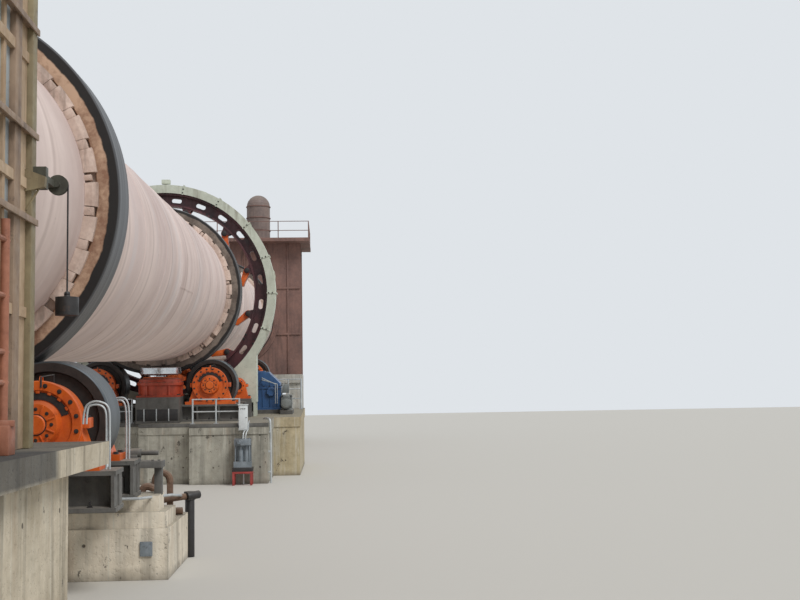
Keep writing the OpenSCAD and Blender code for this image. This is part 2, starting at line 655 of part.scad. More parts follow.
drive_x0 = drive_pier_x + fit_gap;
drive_x1 = drive_pier_x + drive_pier_len;
drive_y1 = -drive_in - fit_gap;
drive_lap = -pier_half_w - cap_out - fit_gap;
module pier_drive() color([0.66, 0.63, 0.56]) pier(
    rect(drive_x0, drive_x1, -drive_pier_w, drive_y1),
    [[drive_x0 - cap_out, -drive_pier_w - cap_out], [drive_x1 + cap_out, -drive_pier_w - cap_out],
        [drive_x1 + cap_out, drive_y1], [drive_x0, drive_y1], [drive_x0, drive_lap],
        [drive_x0 - cap_out, drive_lap]]);

// Handrails at the front of the middle pier and at the high end of the drive pier.
rail_r = 9;
post_r = 12;
rail_h = 330;
drive_rail_h = 500;
rail_in = 40;
module post(x, y, h) {
    translate([x, y, top_at(x) + 4]) cylinder(r = post_r, h = h);
    translate([x - 30, y - 30, top_at(x + 30) + fit_gap]) cube([60, 60, 10]);
}

module bar_y(x, y0, y1, z) translate([x, y0 - rail_r, z]) rotate([-90, 0, 0])
    cylinder(r = rail_r, h = y1 - y0 + 2 * rail_r);

module rail_y(x, y0, y1, n, h, rows) {
    for (i = [0 : n]) post(x, y0 + (y1 - y0) * i / n, h);
    for (i = [1 : rows]) bar_y(x, y0, y1, top_at(x) + h * i / rows);
}

module handrails() color([0.75, 0.76, 0.76]) {
    x = drive_x1 - rail_in;
    y = -drive_pier_w + rail_in;
    rail_y(rail_in - pier_front, -pier_half_w + 380, step_y[0] - 40, 2, rail_h, 2);
    rail_y(rail_in + step_x[1], step_y[1] + 140, pier_half_w - 60, 4, rail_h, 2);
    rail_y(x, y, y + 460, 2, drive_rail_h, 3);
    for (dx = [-420, -210]) post(x + dx, y, drive_rail_h);
    for (i = [1 : 3]) rod_at(x - 420, y, top_at(x) + drive_rail_h * i / 3, 420);
}

module rod_at(x, y, z, l) translate([x - rail_r, y, z]) rotate([0, 90, 0])
    cylinder(r = rail_r, h = l + rail_r);

// Control box on the front of the middle pier, with its conduit.
box_d = 80;
box_w = 118;
box_z = 713;
box_h = 335;
box_y = -pier_half_w + 262;
module control_box() color([0.80, 0.82, 0.82]) {
    x = -pier_front - cap_out - fit_gap - box_d;
    translate([x, box_y, box_z]) cube([box_d, box_w, box_h]);
    translate([x - 12, box_y - 8, box_z + box_h - 2]) cube([box_d + 12, box_w + 16, 12]);
    translate([x + box_d - 15.6, box_y + box_w / 2, 0]) cylinder(r = 9, h = box_z + 4);
}

// Pump unit for the thrust roller, on the floor in front of the pier.
unit_l = 220;
unit_w = 255;
unit_gap = 34;
module hydraulic_unit() color([0.35, 0.40, 0.44]) {
    x = -pier_front - cap_out - unit_gap - unit_l;
    y = box_y + box_w / 2 - unit_w / 2;
    leg = 24;
    for (dx = [0, unit_l - leg], dy = [0, unit_w - leg]) translate([x + dx, y + dy, 0])
        cube([leg, leg, 170]);
    translate([x, y, 160]) cube([unit_l, unit_w, 20]);
    translate([x + 14, y + 14, 178]) cube([unit_l - 28, unit_w - 28, 130]);
    for (dy = [70, 150]) translate([x + 60, y + dy, 306]) cylinder(r = 30, h = 150);
    for (dy = [70, 150]) translate([x + 60, y + dy, 455]) cylinder(r = 14, h = 60);
    translate([x + unit_l - 40, y + 20, 306]) cube([24, unit_w - 40, 300]);
    translate([x + unit_l - 20, y + 30, 360]) cube([unit_gap + cap_out + 20 - fit_gap, 40, 40]);
}

// Platform at the low end: a slab on a solid base.
hood_in = 680;
hood_x1 = shell_x0 + hood_in;
hood_x0 = hood_x1 - hood_len;
slab_in = 180;
slab_past = 740;
module hood_platform() color([0.60, 0.57, 0.50]) {
    translate([hood_x0 - slab_in, -slab_half_w, platform_h - slab_t])
        cube([hood_len + slab_in + slab_past, 2 * slab_half_w, slab_t]);
    translate([hood_x0 - slab_in / 2, 80 - slab_half_w, 0])
        cube([hood_len + 280, 2 * slab_half_w - 160, platform_h - slab_t + 1]);
}

// Casing over the low end of the shell, with columns, ribs and a ring round the shell.
wall_t = 12;
column_w = 60;
column_lap = 1;
run_gap = 20;
hood_top = axis_h + hood_x1 * tan(slope) + hood_rise;
module discharge_hood() color([0.50, 0.44, 0.36]) difference() {
    z0 = platform_h + fit_gap;
    union() {
        translate([hood_x0, -hood_half_w, z0]) cube([hood_len, 2 * hood_half_w, hood_top - z0]);
        for (x = [0, 0.5, 1], s = [-1, 1])
            translate([hood_x0 + x * (hood_len - column_w),
                s * (hood_half_w + column_d / 2) - column_d / 2 - column_lap, z0])
                cube([column_w, column_d + 2 * column_lap, hood_top - z0]);
        for (z = [0.2, 0.4, 0.6, 0.8], s = [-1, 1])
            translate([hood_x0 + 1, s * (hood_half_w + 15) - 16, z0 + z * (hood_top - z0)])
                cube([hood_len - 2, 32, 46]);
        on_axis() spun() polygon([
            [shell_r - 10, hood_x1 - 60], [hood_half_w - 6, hood_x1 - 60],
            [hood_half_w - 6, hood_x1 + 50], [shell_r - 10, hood_x1 + 50]]);
        translate([hood_x0 - 40, 0, axis_h + hood_x0 * tan(slope)]) rod_x(190, 0, 60);
    }
    translate([hood_x0 + wall_t, wall_t - hood_half_w, z0 + wall_t])
        cube([hood_len - 2 * wall_t, 2 * (hood_half_w - wall_t), hood_top - z0 - 2 * wall_t]);
    on_axis() rod_x(shell_r + run_gap, hood_x1 - 200, hood_x1 + 200);
    translate([hood_x0 - 60, 0, axis_h + hood_x0 * tan(slope)]) rod_x(150, 0, 140);
}

// Arm with a pulley, and the weight that pulls the seal against the shell.
pulley_r = 47;
pulley_x = hood_x1 + 120;
pulley_y = -hood_half_w - column_d - 70;
pulley_z = 2130;
rope_l = 510;
rope_r = 4;
groove = 6;
module weight_arm() color([0.30, 0.27, 0.24]) {
    translate([hood_x1 - 50, -hood_half_w - column_d - 60, pulley_z - 15])
        cube([pulley_x - hood_x1 + 75, 30, 30]);
    translate([hood_x1 - 50, -hood_half_w - column_d - 60, pulley_z - 50])
        cube([44, 60 - column_lap - fit_gap, 100]);
    translate([pulley_x, 0, 0]) {
        translate([-8, pulley_y, pulley_z]) rotate([0, 90, 0]) cylinder(r = 13, h = 40);
        translate([-8, pulley_y, pulley_z - 13]) cube([16, 40, 26]);
        translate([10, pulley_y, pulley_z]) spun() polygon([
            [0, 0], [pulley_r, 0], [pulley_r - groove, 8], [pulley_r - groove, 14], [pulley_r, 22],
            [0, 22]]);
    }
}

module seal_weight() color([0.16, 0.16, 0.18])
    translate([pulley_x + 21, pulley_y - pulley_r + groove - rope_r - 0.3, pulley_z]) {
    translate([0, 0, -rope_l - 10]) cylinder(r = rope_r, h = rope_l + 10);
    translate([0, 0, -rope_l]) sphere(r = 14);
    translate([0, 0, -rope_l - 100]) cylinder(r = 53, h = 85);
    translate([0, 0, -rope_l - 20]) cylinder(r1 = 20, r2 = 10, h = 20);
}

// Chamber at the high end, with stiffeners.
chamber_in = 650;
chamber_x0 = shell_x1 - chamber_in;
chamber_top = chamber_floor + chamber_h;
stiff = 60;
walk_x = 420;
walk_y = 300;
walk_t = 39;
walk_rail_h = 480;
walk_post = 740;
walk_in = 20;
module feed_chamber() color([0.40, 0.27, 0.21]) difference() {
    union() {
        translate([chamber_x0, -chamber_half_w, chamber_floor + fit_gap])
            cube([chamber_len, 2 * chamber_half_w, chamber_h - fit_gap]);
        for (i = [0 : 3], s = [-1, 1])
            translate([chamber_x0 + i * (chamber_len - stiff) / 3,
                s * (chamber_half_w + stiff / 2) - stiff / 2 - 1, chamber_floor + fit_gap])
                cube([stiff, stiff + 2, chamber_h - 1]);
        for (z = [0.3, 0.65])
            translate([chamber_x0 - 30, -chamber_half_w - 40, chamber_floor + z * chamber_h])
                cube([chamber_len + 60, 2 * chamber_half_w + 80, 50]);
    }
    translate([chamber_x0 + wall_t, wall_t - chamber_half_w, chamber_floor + wall_t])
        cube([chamber_len - 2 * wall_t, 2 * (chamber_half_w - wall_t), chamber_h - 2 * wall_t]);
    on_axis() rod_x(seal_r + fit_gap, chamber_x0 - 200, chamber_x0 + 200);
}

// Fixed ring round the shell, set in the chamber's front wall.
seal_r = shell_r + 150;
module inlet_seal() on_axis() color([0.42, 0.28, 0.22]) spun() polygon([
    [shell_r + run_gap, chamber_x0 - 60], [seal_r, chamber_x0 - 60],
    [seal_r, chamber_x0 + 90], [shell_r + run_gap, chamber_x0 + 90]]);

// Walkway on the chamber, with its railing.
module feed_walkway() color([0.40, 0.27, 0.21]) {
    x = chamber_x0 - walk_x + walk_in;
    y = chamber_half_w + walk_y - walk_in;
    z0 = chamber_top + walk_t - 1;
    translate([chamber_x0 - walk_x, -chamber_half_w - walk_y, chamber_top + fit_gap])
        cube([chamber_len + 2 * walk_x, 2 * chamber_half_w + 2 * walk_y, walk_t - fit_gap]);
    for (i = [0 : 5]) translate([x, -y + i * 2 * y / 5, z0]) cylinder(r = post_r, h = walk_rail_h);
    for (i = [1 : 3], s = [-1, 1]) translate([x + i * walk_post, s * y, z0])
        cylinder(r = post_r, h = walk_rail_h);
    for (z = [walk_rail_h / 2, walk_rail_h]) {
        bar_y(x, -y, y, z0 + z);
        for (s = [-1, 1]) rod_at(x, s * y, z0 + z, 3 * walk_post);
    }
}

// Domed duct on the chamber.
duct_r = 310;
duct_h = 1050;
duct_y = -600;
module feed_duct() color([0.42, 0.28, 0.20])
    translate([chamber_x0 + chamber_len / 2, duct_y, chamber_top + walk_t + fit_gap])
        rotate_extrude() polygon(concat(
        [[0, 0], [duct_r + 40, 0], [duct_r + 40, 24], [duct_r, 24], [duct_r, duct_h]],
        [for (a = [15 : 15 : 75]) [duct_r * cos(a), duct_h + duct_r * sin(a)]], [[0, duct_h + duct_r]]));

// Portal of concrete under the chamber.
module pier_feed() color([0.62, 0.60, 0.54]) {
    slab = 220;
    leg = 420;
    x = chamber_x0 - 150;
    l = chamber_len + 300;
    w = 2 * chamber_half_w + 140;
    translate([x, -w / 2, chamber_floor - slab]) cube([l, w, slab]);
    for (y = [-w / 2, -leg / 2, w / 2 - leg]) translate([x + 60, y, 0])
        cube([l - 120, leg, chamber_floor - slab + 1]);
}

shell();
lining();
nose_ring();
feed_ring();
tyre(x_low);  // tyre_low
tyre(0);  // tyre_mid
tyre(x_high);  // tyre_high
pads(x_low);  // pads_low
pads(0);  // pads_mid
pads(x_high);  // pads_high
girth_gear();
spring_plates();
clevis_forks();
clevis_pins();
roller(x_low, -1);  // roller_low_a
roller(x_low, 1);  // roller_low_b
roller(0, -1);  // roller_mid_a
roller(0, 1);  // roller_mid_b
roller(x_high, -1);  // roller_high_a
roller(x_high, 1);  // roller_high_b
housings(x_low);  // housings_low
housings(0);  // housings_mid
housings(x_high);  // housings_high
base_frame(x_low);  // frame_low
frame_mid();
base_frame(x_high);  // frame_high
pier_low();
pier_mid();
pier_high();
pier_drive();
thrust_roller();
thrust_housing();
gear_guard();
pinion_cover();
guard_legs();
pinion();
pinion_bearings();
reducer();
main_motor();
barring_motor();
drive_base();
handrails();
control_box();
hydraulic_unit();
discharge_hood();
hood_platform();
weight_arm();
seal_weight();
feed_chamber();
inlet_seal();
feed_walkway();
feed_duct();
pier_feed();
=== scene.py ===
"""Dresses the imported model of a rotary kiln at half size: finishes, fittings, light and camera.

All lengths are metres. Sizes in the kiln's own frame run along its axis (x), across (y) and
up from the axis (z); KilnFrame.matrix turns them into the model's frame.
"""

import json
import logging
import math
from dataclasses import dataclass
from enum import Enum
from functools import cache
from itertools import product
from typing import Sequence

import bmesh
import bpy
from mathutils import Matrix, Vector

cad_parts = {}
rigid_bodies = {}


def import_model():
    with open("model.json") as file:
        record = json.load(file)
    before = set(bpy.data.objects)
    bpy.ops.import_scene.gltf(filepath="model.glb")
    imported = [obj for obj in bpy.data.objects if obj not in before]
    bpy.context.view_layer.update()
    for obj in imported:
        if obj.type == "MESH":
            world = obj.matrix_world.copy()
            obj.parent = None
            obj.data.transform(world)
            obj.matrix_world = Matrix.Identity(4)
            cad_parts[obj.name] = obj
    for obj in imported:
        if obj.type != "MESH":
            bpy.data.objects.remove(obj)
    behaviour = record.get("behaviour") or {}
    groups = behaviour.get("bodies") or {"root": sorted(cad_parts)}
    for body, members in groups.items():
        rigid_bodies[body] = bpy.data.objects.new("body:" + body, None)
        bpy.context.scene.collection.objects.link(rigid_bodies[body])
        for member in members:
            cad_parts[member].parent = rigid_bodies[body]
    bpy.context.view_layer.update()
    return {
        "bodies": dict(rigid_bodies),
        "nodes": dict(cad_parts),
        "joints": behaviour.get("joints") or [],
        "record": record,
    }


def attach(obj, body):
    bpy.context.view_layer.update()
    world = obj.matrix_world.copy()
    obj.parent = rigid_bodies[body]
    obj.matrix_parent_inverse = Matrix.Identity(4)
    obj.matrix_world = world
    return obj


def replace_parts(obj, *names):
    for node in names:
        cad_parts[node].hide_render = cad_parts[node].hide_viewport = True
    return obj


LOG = logging.getLogger("kiln")
Point = Sequence[float]
Colour = tuple[float, float, float]
Node, Socket, Tree = bpy.types.Node, bpy.types.NodeSocket, bpy.types.NodeTree


class Body(Enum):
    """The bodies of the model that a piece can ride on."""

    FOUNDATION = "foundation"
    KILN = "rotating_kiln"
    PINION = "pinion"
    THRUST = "thrust_roller"


class Axis(Enum):
    """Directions that a revolved shape or a bolt can stand along, in its own frame."""

    X = (1.0, 0.0, 0.0)
    Y = (0.0, 1.0, 0.0)
    Z = (0.0, 0.0, 1.0)
    MINUS_X = (-1.0, 0.0, 0.0)

    @classmethod
    def facing(cls, side: int) -> "Axis":
        """The direction along X that a side of -1 or 1 faces."""
        return cls.X if side > 0 else cls.MINUS_X


def linear(code: str) -> Colour:
    """Turns a colour of six hexadecimal digits into the renderer's linear values."""
    shares = (int(code[at:at + 2], 16) / 255 for at in (0, 2, 4))
    return tuple(((share + 0.055) / 1.055) ** 2.4 if share > 0.04045 else share / 12.92 for share in shares)


def spread(first: float, step: float, count: int) -> list[float]:
    """Gives a number of values at even steps."""
    return [first + index * step for index in range(count)]


def aligned(at: Point, axis: Point) -> Matrix:
    """Gives the matrix that takes +Z to an axis and the origin to a point.

    Args:
        at: where the origin goes.
        axis: the direction that +Z takes.

    Returns:
        The matrix of the move.
    """
    return Matrix.Translation(Vector(at)) @ Vector((0, 0, 1)).rotation_difference(Vector(axis)).to_matrix().to_4x4()


@dataclass(frozen=True)
class KilnFrame:
    """Sizes of the kiln that several sub-assemblies share."""

    slope: float = math.asin(0.035)
    axis_height: float = 2.695
    stations: tuple[float, ...] = (-9.5, 0.0, 9.0)
    shell_radius: float = 1.0
    shell_low: float = -12.0
    shell_high: float = 14.0
    tyre_width: float = 0.32
    roller_y: float = 0.7802
    roller_z: float = -1.35134
    housing_x: float = 0.316
    pier_z: float = -1.8571

    @property
    def matrix(self) -> Matrix:
        """The matrix from the kiln's own frame to the model's."""
        return Matrix.Translation((0, 0, self.axis_height)) @ Matrix.Rotation(-self.slope, 4, "Y")


KILN = KilnFrame()
LEVEL = Matrix.Identity(4)
ORIGIN = (0.0, 0.0, 0.0)
UP = (0.0, 0.0, 1.0)
SIDES = (-1, 1)
STATIONS = tuple(zip(("low", "mid", "high"), KILN.stations))


class NodeKit:
    """Adds shader nodes to a tree and links them in one line each."""

    def __init__(self, tree: Tree) -> None:
        """Keeps the tree that the nodes go into."""
        self.tree = tree

    def node(self, kind: str, inputs: dict | None = None, **settings: object) -> Node:
        """Adds a node.

        Args:
            kind: the node's type name.
            inputs: values, or sockets to link, by the input's name or number.
            settings: properties of the node.

        Returns:
            The new node.
        """
        made = self.tree.nodes.new(kind)
        for key, value in settings.items():
            setattr(made, key, value)
        for key, value in (inputs or {}).items():
            self.put(made, key, value)
        return made

    def put(self, node: Node, key: str | int, value: object) -> None:
        """Feeds an input of a node.

        Args:
            node: the node.
            key: the input's name or number.
            value: a socket to link to it, or a value to set.
        """
        if isinstance(value, Socket):
            self.tree.links.new(value, node.inputs[key])
        else:
            node.inputs[key].default_value = value

    def math(self, operation: str, first: object, second: object = 0.0, third: object = 0.0) -> Socket:
        """Adds a Math node and gives its result."""
        return self.node("ShaderNodeMath", {0: first, 1: second, 2: third}, operation=operation).outputs[0]

    def times(self, first: object, second: object) -> Socket:
        """Multiplies two values."""
        return self.math("MULTIPLY", first, second)

    def plus(self, first: object, second: object) -> Socket:
        """Adds two values."""
        return self.math("ADD", first, second)

    def place(self, name: str) -> Socket:
        """Gives the Object coordinates or the Normal of a surface."""
        return self.node("ShaderNodeTexCoord").outputs[name]

    def split(self, vector: object) -> Sequence[Socket]:
        """Gives the three parts of a vector."""
        return self.node("ShaderNodeSeparateXYZ", {0: vector}).outputs

    def span(self, value: object, low: float, high: float, to_low: float = 0.0, to_high: float = 1.0) -> Socket:
        """Maps a value from one range to another, clamped, and gives the result."""
        return self.node("ShaderNodeMapRange", {0: value, 1: low, 2: high, 3: to_low, 4: to_high}).outputs[0]

    def mix(self, factor: object, first: object, second: object) -> Socket:
        """Mixes two colours.

        Args:
            factor: the share of the second.
            first: a colour or a socket.
            second: a colour or a socket.

        Returns:
            The socket of the mixed colour.
        """
        made = self.node("ShaderNodeMix", data_type="RGBA")
        for key, value in ((0, factor), (6, first), (7, second)):
            self.put(made, key, (*value, 1.0) if isinstance(value, tuple) else value)
        return made.outputs[2]

    def over(self, colour: object, mask: Socket, amount: float, other: object) -> Socket:
        """Lays another colour over one where a mask says, by an amount, and gives the result."""
        return self.mix(self.times(mask, amount), colour, other)

    def noise(self, vector: object, scale: float, detail: float = 3.0, rough: float = 0.55) -> Socket:
        """Adds a noise texture and gives its value."""
        values = {"Vector": vector, "Scale": scale, "Detail": detail, "Roughness": rough}
        return self.node("ShaderNodeTexNoise", values).outputs["Fac"]

    def stretched(self, vector: object, scale: Point, turn: Point = (0, 0, 0), shift: Point = (0, 0, 0)) -> Socket:
        """Scales, turns and shifts a vector and gives the result."""
        made = self.node("ShaderNodeMapping", {"Vector": vector, "Location": shift, "Rotation": turn, "Scale": scale})
        return made.outputs[0]

    def group(self, tree: Tree, **values: object) -> Node:
        """Adds a shared group with this material's own values."""
        return self.node("ShaderNodeGroup", values, node_tree=tree)

    def mottle(self, vector: Socket, scale: float, low: float, high: float) -> Socket:
        """Adds the shared patches and gives their mask."""
        return self.group(SurfaceGroups.mottle(), Vector=vector, Scale=scale, Low=low, High=high).outputs[0]

    def drips(self, scale: float, low: float, high: float) -> Socket:
        """Adds the shared stains that run down and gives their mask."""
        return self.group(SurfaceGroups.drips(), Scale=scale, Low=low, High=high).outputs[0]


class SurfaceGroups:
    """Shader node groups that several finishes share, each built once."""

    @classmethod
    def _start(cls, name: str, inputs: dict[str, object], outputs: dict[str, str]) -> tuple[NodeKit, dict, Node]:
        """Starts a group with named sockets.

        Args:
            name: the group's name.
            inputs: default value of each input, a number or a vector.
            outputs: socket type of each output, "Float" or "Color".
        """
        tree = bpy.data.node_groups.new(name, "ShaderNodeTree")
        for key, value in inputs.items():
            kind = "NodeSocketFloat" if isinstance(value, float) else "NodeSocketVector"
            tree.interface.new_socket(key, in_out="INPUT", socket_type=kind).default_value = value
        for key, kind in outputs.items():
            tree.interface.new_socket(key, in_out="OUTPUT", socket_type="NodeSocket" + kind)
        kit = NodeKit(tree)
        start = kit.node("NodeGroupInput")
        return kit, {key: start.outputs[key] for key in inputs}, kit.node("NodeGroupOutput")

    @classmethod
    @cache
    def mottle(cls) -> Tree:
        """Cloudy patches from two sizes of noise. Outputs: Mask.

        Returns:
            The group's tree.
        """
        kit, given, end = cls._start("Mottle", {"Vector": (0, 0, 0), "Scale": 2.0, "Low": 0.4, "High": 0.6},
                                     {"Mask": "Float"})
        broad = kit.noise(given["Vector"], given["Scale"], 4.0)
        fine = kit.noise(given["Vector"], kit.times(given["Scale"], 6.3), 3.0, 0.65)
        both = kit.math("MULTIPLY_ADD", fine, 0.35, kit.times(broad, 0.65))
        made = kit.node("ShaderNodeMapRange", {0: both, 1: given["Low"], 2: given["High"]})
        kit.put(end, "Mask", made.outputs[0])
        return kit.tree

    @classmethod
    @cache
    def drips(cls) -> Tree:
        """Stains that run down a standing face. Outputs: Mask.

        Returns:
            The group's tree.
        """
        kit, given, end = cls._start("Drips", {"Scale": 6.0, "Low": 0.55, "High": 0.75}, {"Mask": "Float"})
        where = kit.place("Object")
        long = kit.stretched(where, (1.0, 1.0, 0.12))
        run = kit.noise(long, given["Scale"], 5.0, 0.6)
        broken = kit.span(kit.noise(where, 1.3, 3.0), 0.35, 0.65)
        made = kit.node("ShaderNodeMapRange", {0: run, 1: given["Low"], 2: given["High"]})
        kit.put(end, "Mask", kit.times(made.outputs[0], broken))
        return kit.tree

    @classmethod
    @cache
    def dust(cls) -> Tree:
        """Dust that settles on faces that look up. Outputs: Mask.

        Returns:
            The group's tree.
        """
        kit, given, end = cls._start("Dust", {"Amount": 0.6}, {"Mask": "Float"})
        flat = kit.span(kit.split(kit.place("Normal"))[2], 0.35, 0.9)
        patchy = kit.span(kit.noise(kit.place("Object"), 9.0, 4.0), 0.3, 0.6, 0.35, 1.0)
        kit.put(end, "Mask", kit.times(kit.times(flat, patchy), given["Amount"]))
        return kit.tree

    @classmethod
    @cache
    def round_axis(cls) -> Tree:
        """Place on a turned part: along its axis, radius, and a vector that wraps round it.

        The input Offset is the part's axis from the kiln axis, in the kiln's own frame.

        Returns:
            The group's tree.
        """
        kit, given, end = cls._start("Round axis", {"Offset": (0, 0, 0)},
                                     {"Along": "Float", "Radius": "Float", "Wrap": "Vector"})
        where = kit.place("Object")
        down = kit.node("ShaderNodeVectorMath", {0: where, 1: (0, 0, -KILN.axis_height)}, operation="ADD").outputs[0]
        level = kit.stretched(down, (1, 1, 1), (0, KILN.slope, 0))
        local = kit.node("ShaderNodeVectorMath", {0: level, 1: given["Offset"]}, operation="SUBTRACT").outputs[0]
        part = kit.split(local)
        squares = kit.plus(kit.times(part[1], part[1]), kit.times(part[2], part[2]))
        kit.put(end, "Along", part[0])
        kit.put(end, "Radius", kit.math("SQRT", squares))
        kit.put(end, "Wrap", local)
        return kit.tree

    @classmethod
    @cache
    def boards(cls) -> Tree:
        """Marks of the shuttering on concrete. Outputs: Seam, Hole, Plank.

        Returns:
            The group's tree.
        """
        kit, given, end = cls._start("Boards", {"Panel": 0.62, "Plank": 0.105, "Row": 0.42},
                                     {"Seam": "Float", "Hole": "Float", "Plank": "Float"})
        where = kit.place("Object")
        part = kit.split(where)
        across = kit.plus(kit.plus(part[0], part[1]), 20.13)
        panel = kit.math("FRACT", kit.math("DIVIDE", across, given["Panel"]))
        from_seam = kit.times(kit.math("PINGPONG", panel, 0.5), given["Panel"])
        row = kit.math("FRACT", kit.math("DIVIDE", kit.plus(part[2], 10.07), given["Row"]))
        side = kit.times(kit.math("SUBTRACT", kit.math("FRACT", kit.plus(panel, 0.25)), 0.5), given["Panel"])
        up = kit.times(kit.math("SUBTRACT", row, 0.5), given["Row"])
        away = kit.math("SQRT", kit.plus(kit.times(side, side), kit.times(up, up)))
        number = kit.math("FLOOR", kit.math("DIVIDE", across, given["Plank"]))
        tone = kit.node("ShaderNodeTexWhiteNoise", {"W": number}, noise_dimensions="1D").outputs["Value"]
        kit.put(end, "Seam", kit.span(from_seam, 0.002, 0.007, 1.0, 0.0))
        kit.put(end, "Hole", kit.span(away, 0.008, 0.013, 1.0, 0.0))
        kit.put(end, "Plank", tone)
        return kit.tree


@dataclass(frozen=True)
class Finish:
    """What every finish has: a name and the means to start and end its material."""

    name: str

    def _begin(self) -> tuple[NodeKit, bpy.types.Material, Node, Socket]:
        """Starts a material.

        Returns:
            The node kit, the material, its shader, and the Object coordinates.
        """
        material = bpy.data.materials.new(self.name)
        material.use_nodes = True
        material.node_tree.nodes.clear()
        kit = NodeKit(material.node_tree)
        shader = kit.node("ShaderNodeBsdfPrincipled")
        end = kit.node("ShaderNodeOutputMaterial")
        kit.put(end, 0, shader.outputs[0])
        return kit, material, shader, kit.place("Object")

    def _bump(self, kit: NodeKit, shader: Node, height: Socket, distance: float) -> None:
        """Feeds a height to the shader's normal; distance is in metres."""
        made = kit.node("ShaderNodeBump", {"Height": height, "Distance": distance, "Strength": 0.8})
        kit.put(shader, "Normal", made.outputs[0])

    def build(self) -> bpy.types.Material:
        """Builds the material."""
        raise NotImplementedError


@dataclass(frozen=True)
class Paint(Finish):
    """Painted, primed or rusty plate, with patches, runs, dust and a fine grain."""

    colours: str
    dirt_low: float = 0.52
    dirt_high: float = 0.75
    patch: float = 2.4
    dust: float = 0.35
    rough: float = 0.5
    metal: float = 0.0
    grain: float = 0.0006

    def build(self) -> bpy.types.Material:
        """Builds the painted material; colours are paint, shade and dirt.

        Returns:
            The material.
        """
        kit, material, shader, where = self._begin()
        paint, shade, dirt = map(linear, self.colours.split())
        patches = kit.mottle(where, self.patch, 0.38, 0.64)
        runs = kit.drips(11.0, self.dirt_low, self.dirt_high)
        spots = kit.mottle(where, 14.0, 0.60, 0.68)
        laid = kit.group(SurfaceGroups.dust(), Amount=self.dust).outputs[0]
        colour = kit.mix(patches, paint, shade)
        marks = kit.math("MAXIMUM", kit.times(runs, 0.7), kit.times(spots, 0.55))
        colour = kit.mix(marks, colour, dirt)
        colour = kit.mix(laid, colour, linear("968d80"))
        kit.put(shader, "Base Color", colour)
        kit.put(shader, "Roughness", kit.span(kit.noise(where, 23.0), 0.3, 0.7, self.rough - 0.1, self.rough + 0.18))
        shader.inputs["Metallic"].default_value = self.metal
        fine = kit.plus(kit.noise(where, 160.0, 2.0), kit.times(kit.noise(where, 34.0, 2.0), 1.6))
        self._bump(kit, shader, fine, self.grain)
        return material


@dataclass(frozen=True)
class ShellPlate(Finish):
    """Heat-marked kiln shell: rings of tint, scuffs round the shell and dark scale."""

    light: Colour = linear("e6d3cb")
    mid: Colour = linear("cebab4")
    chalk: Colour = linear("d8d4d6")
    deep: Colour = linear("8c746c")
    scale: Colour = linear("5c4c46")

    def build(self) -> bpy.types.Material:
        """Builds the shell's material.

        Returns:
            The material.
        """
        kit, material, shader, _ = self._begin()
        turned = kit.group(SurfaceGroups.round_axis())
        along, wrap = turned.outputs["Along"], turned.outputs["Wrap"]
        rings = kit.span(kit.noise(kit.stretched(wrap, (1.0, 0.06, 0.06)), 1.5, 1.6, 0.5), 0.32, 0.68)
        fine_rings = kit.span(kit.noise(kit.stretched(wrap, (1.0, 0.05, 0.05)), 8.0, 3.0, 0.6), 0.45, 0.70)
        scuffs = kit.span(kit.noise(kit.stretched(wrap, (2.6, 0.5, 0.5)), 1.2, 5.0, 0.6), 0.46, 0.74)
        chalky = kit.span(kit.noise(kit.stretched(wrap, (2.2, 0.32, 0.32)), 1.5, 4.0, 0.6), 0.52, 0.72)
        clouds = kit.mottle(wrap, 0.7, 0.42, 0.68)
        flakes = kit.mottle(kit.stretched(wrap, (2.0, 0.8, 0.8)), 6.5, 0.64, 0.70)
        course = kit.math("PINGPONG", kit.plus(along, 40.35), 0.575)
        seam = kit.span(course, 0.012, 0.05, 0.30, 0.0)
        colour = kit.mix(rings, self.light, self.mid)
        colour = kit.over(colour, chalky, 0.5, self.chalk)
        colour = kit.over(colour, clouds, 0.28, self.deep)
        colour = kit.over(colour, scuffs, 0.30, self.deep)
        colour = kit.over(colour, fine_rings, 0.09, self.deep)
        colour = kit.over(colour, flakes, 0.35, self.scale)
        colour = kit.mix(seam, colour, self.deep)
        kit.put(shader, "Base Color", colour)
        kit.put(shader, "Roughness", kit.span(scuffs, 0.0, 1.0, 0.62, 0.85))
        shader.inputs["Specular IOR Level"].default_value = 0.3
        self._bump(kit, shader, kit.plus(kit.noise(wrap, 26.0, 4.0), fine_rings), 0.0003)
        return material


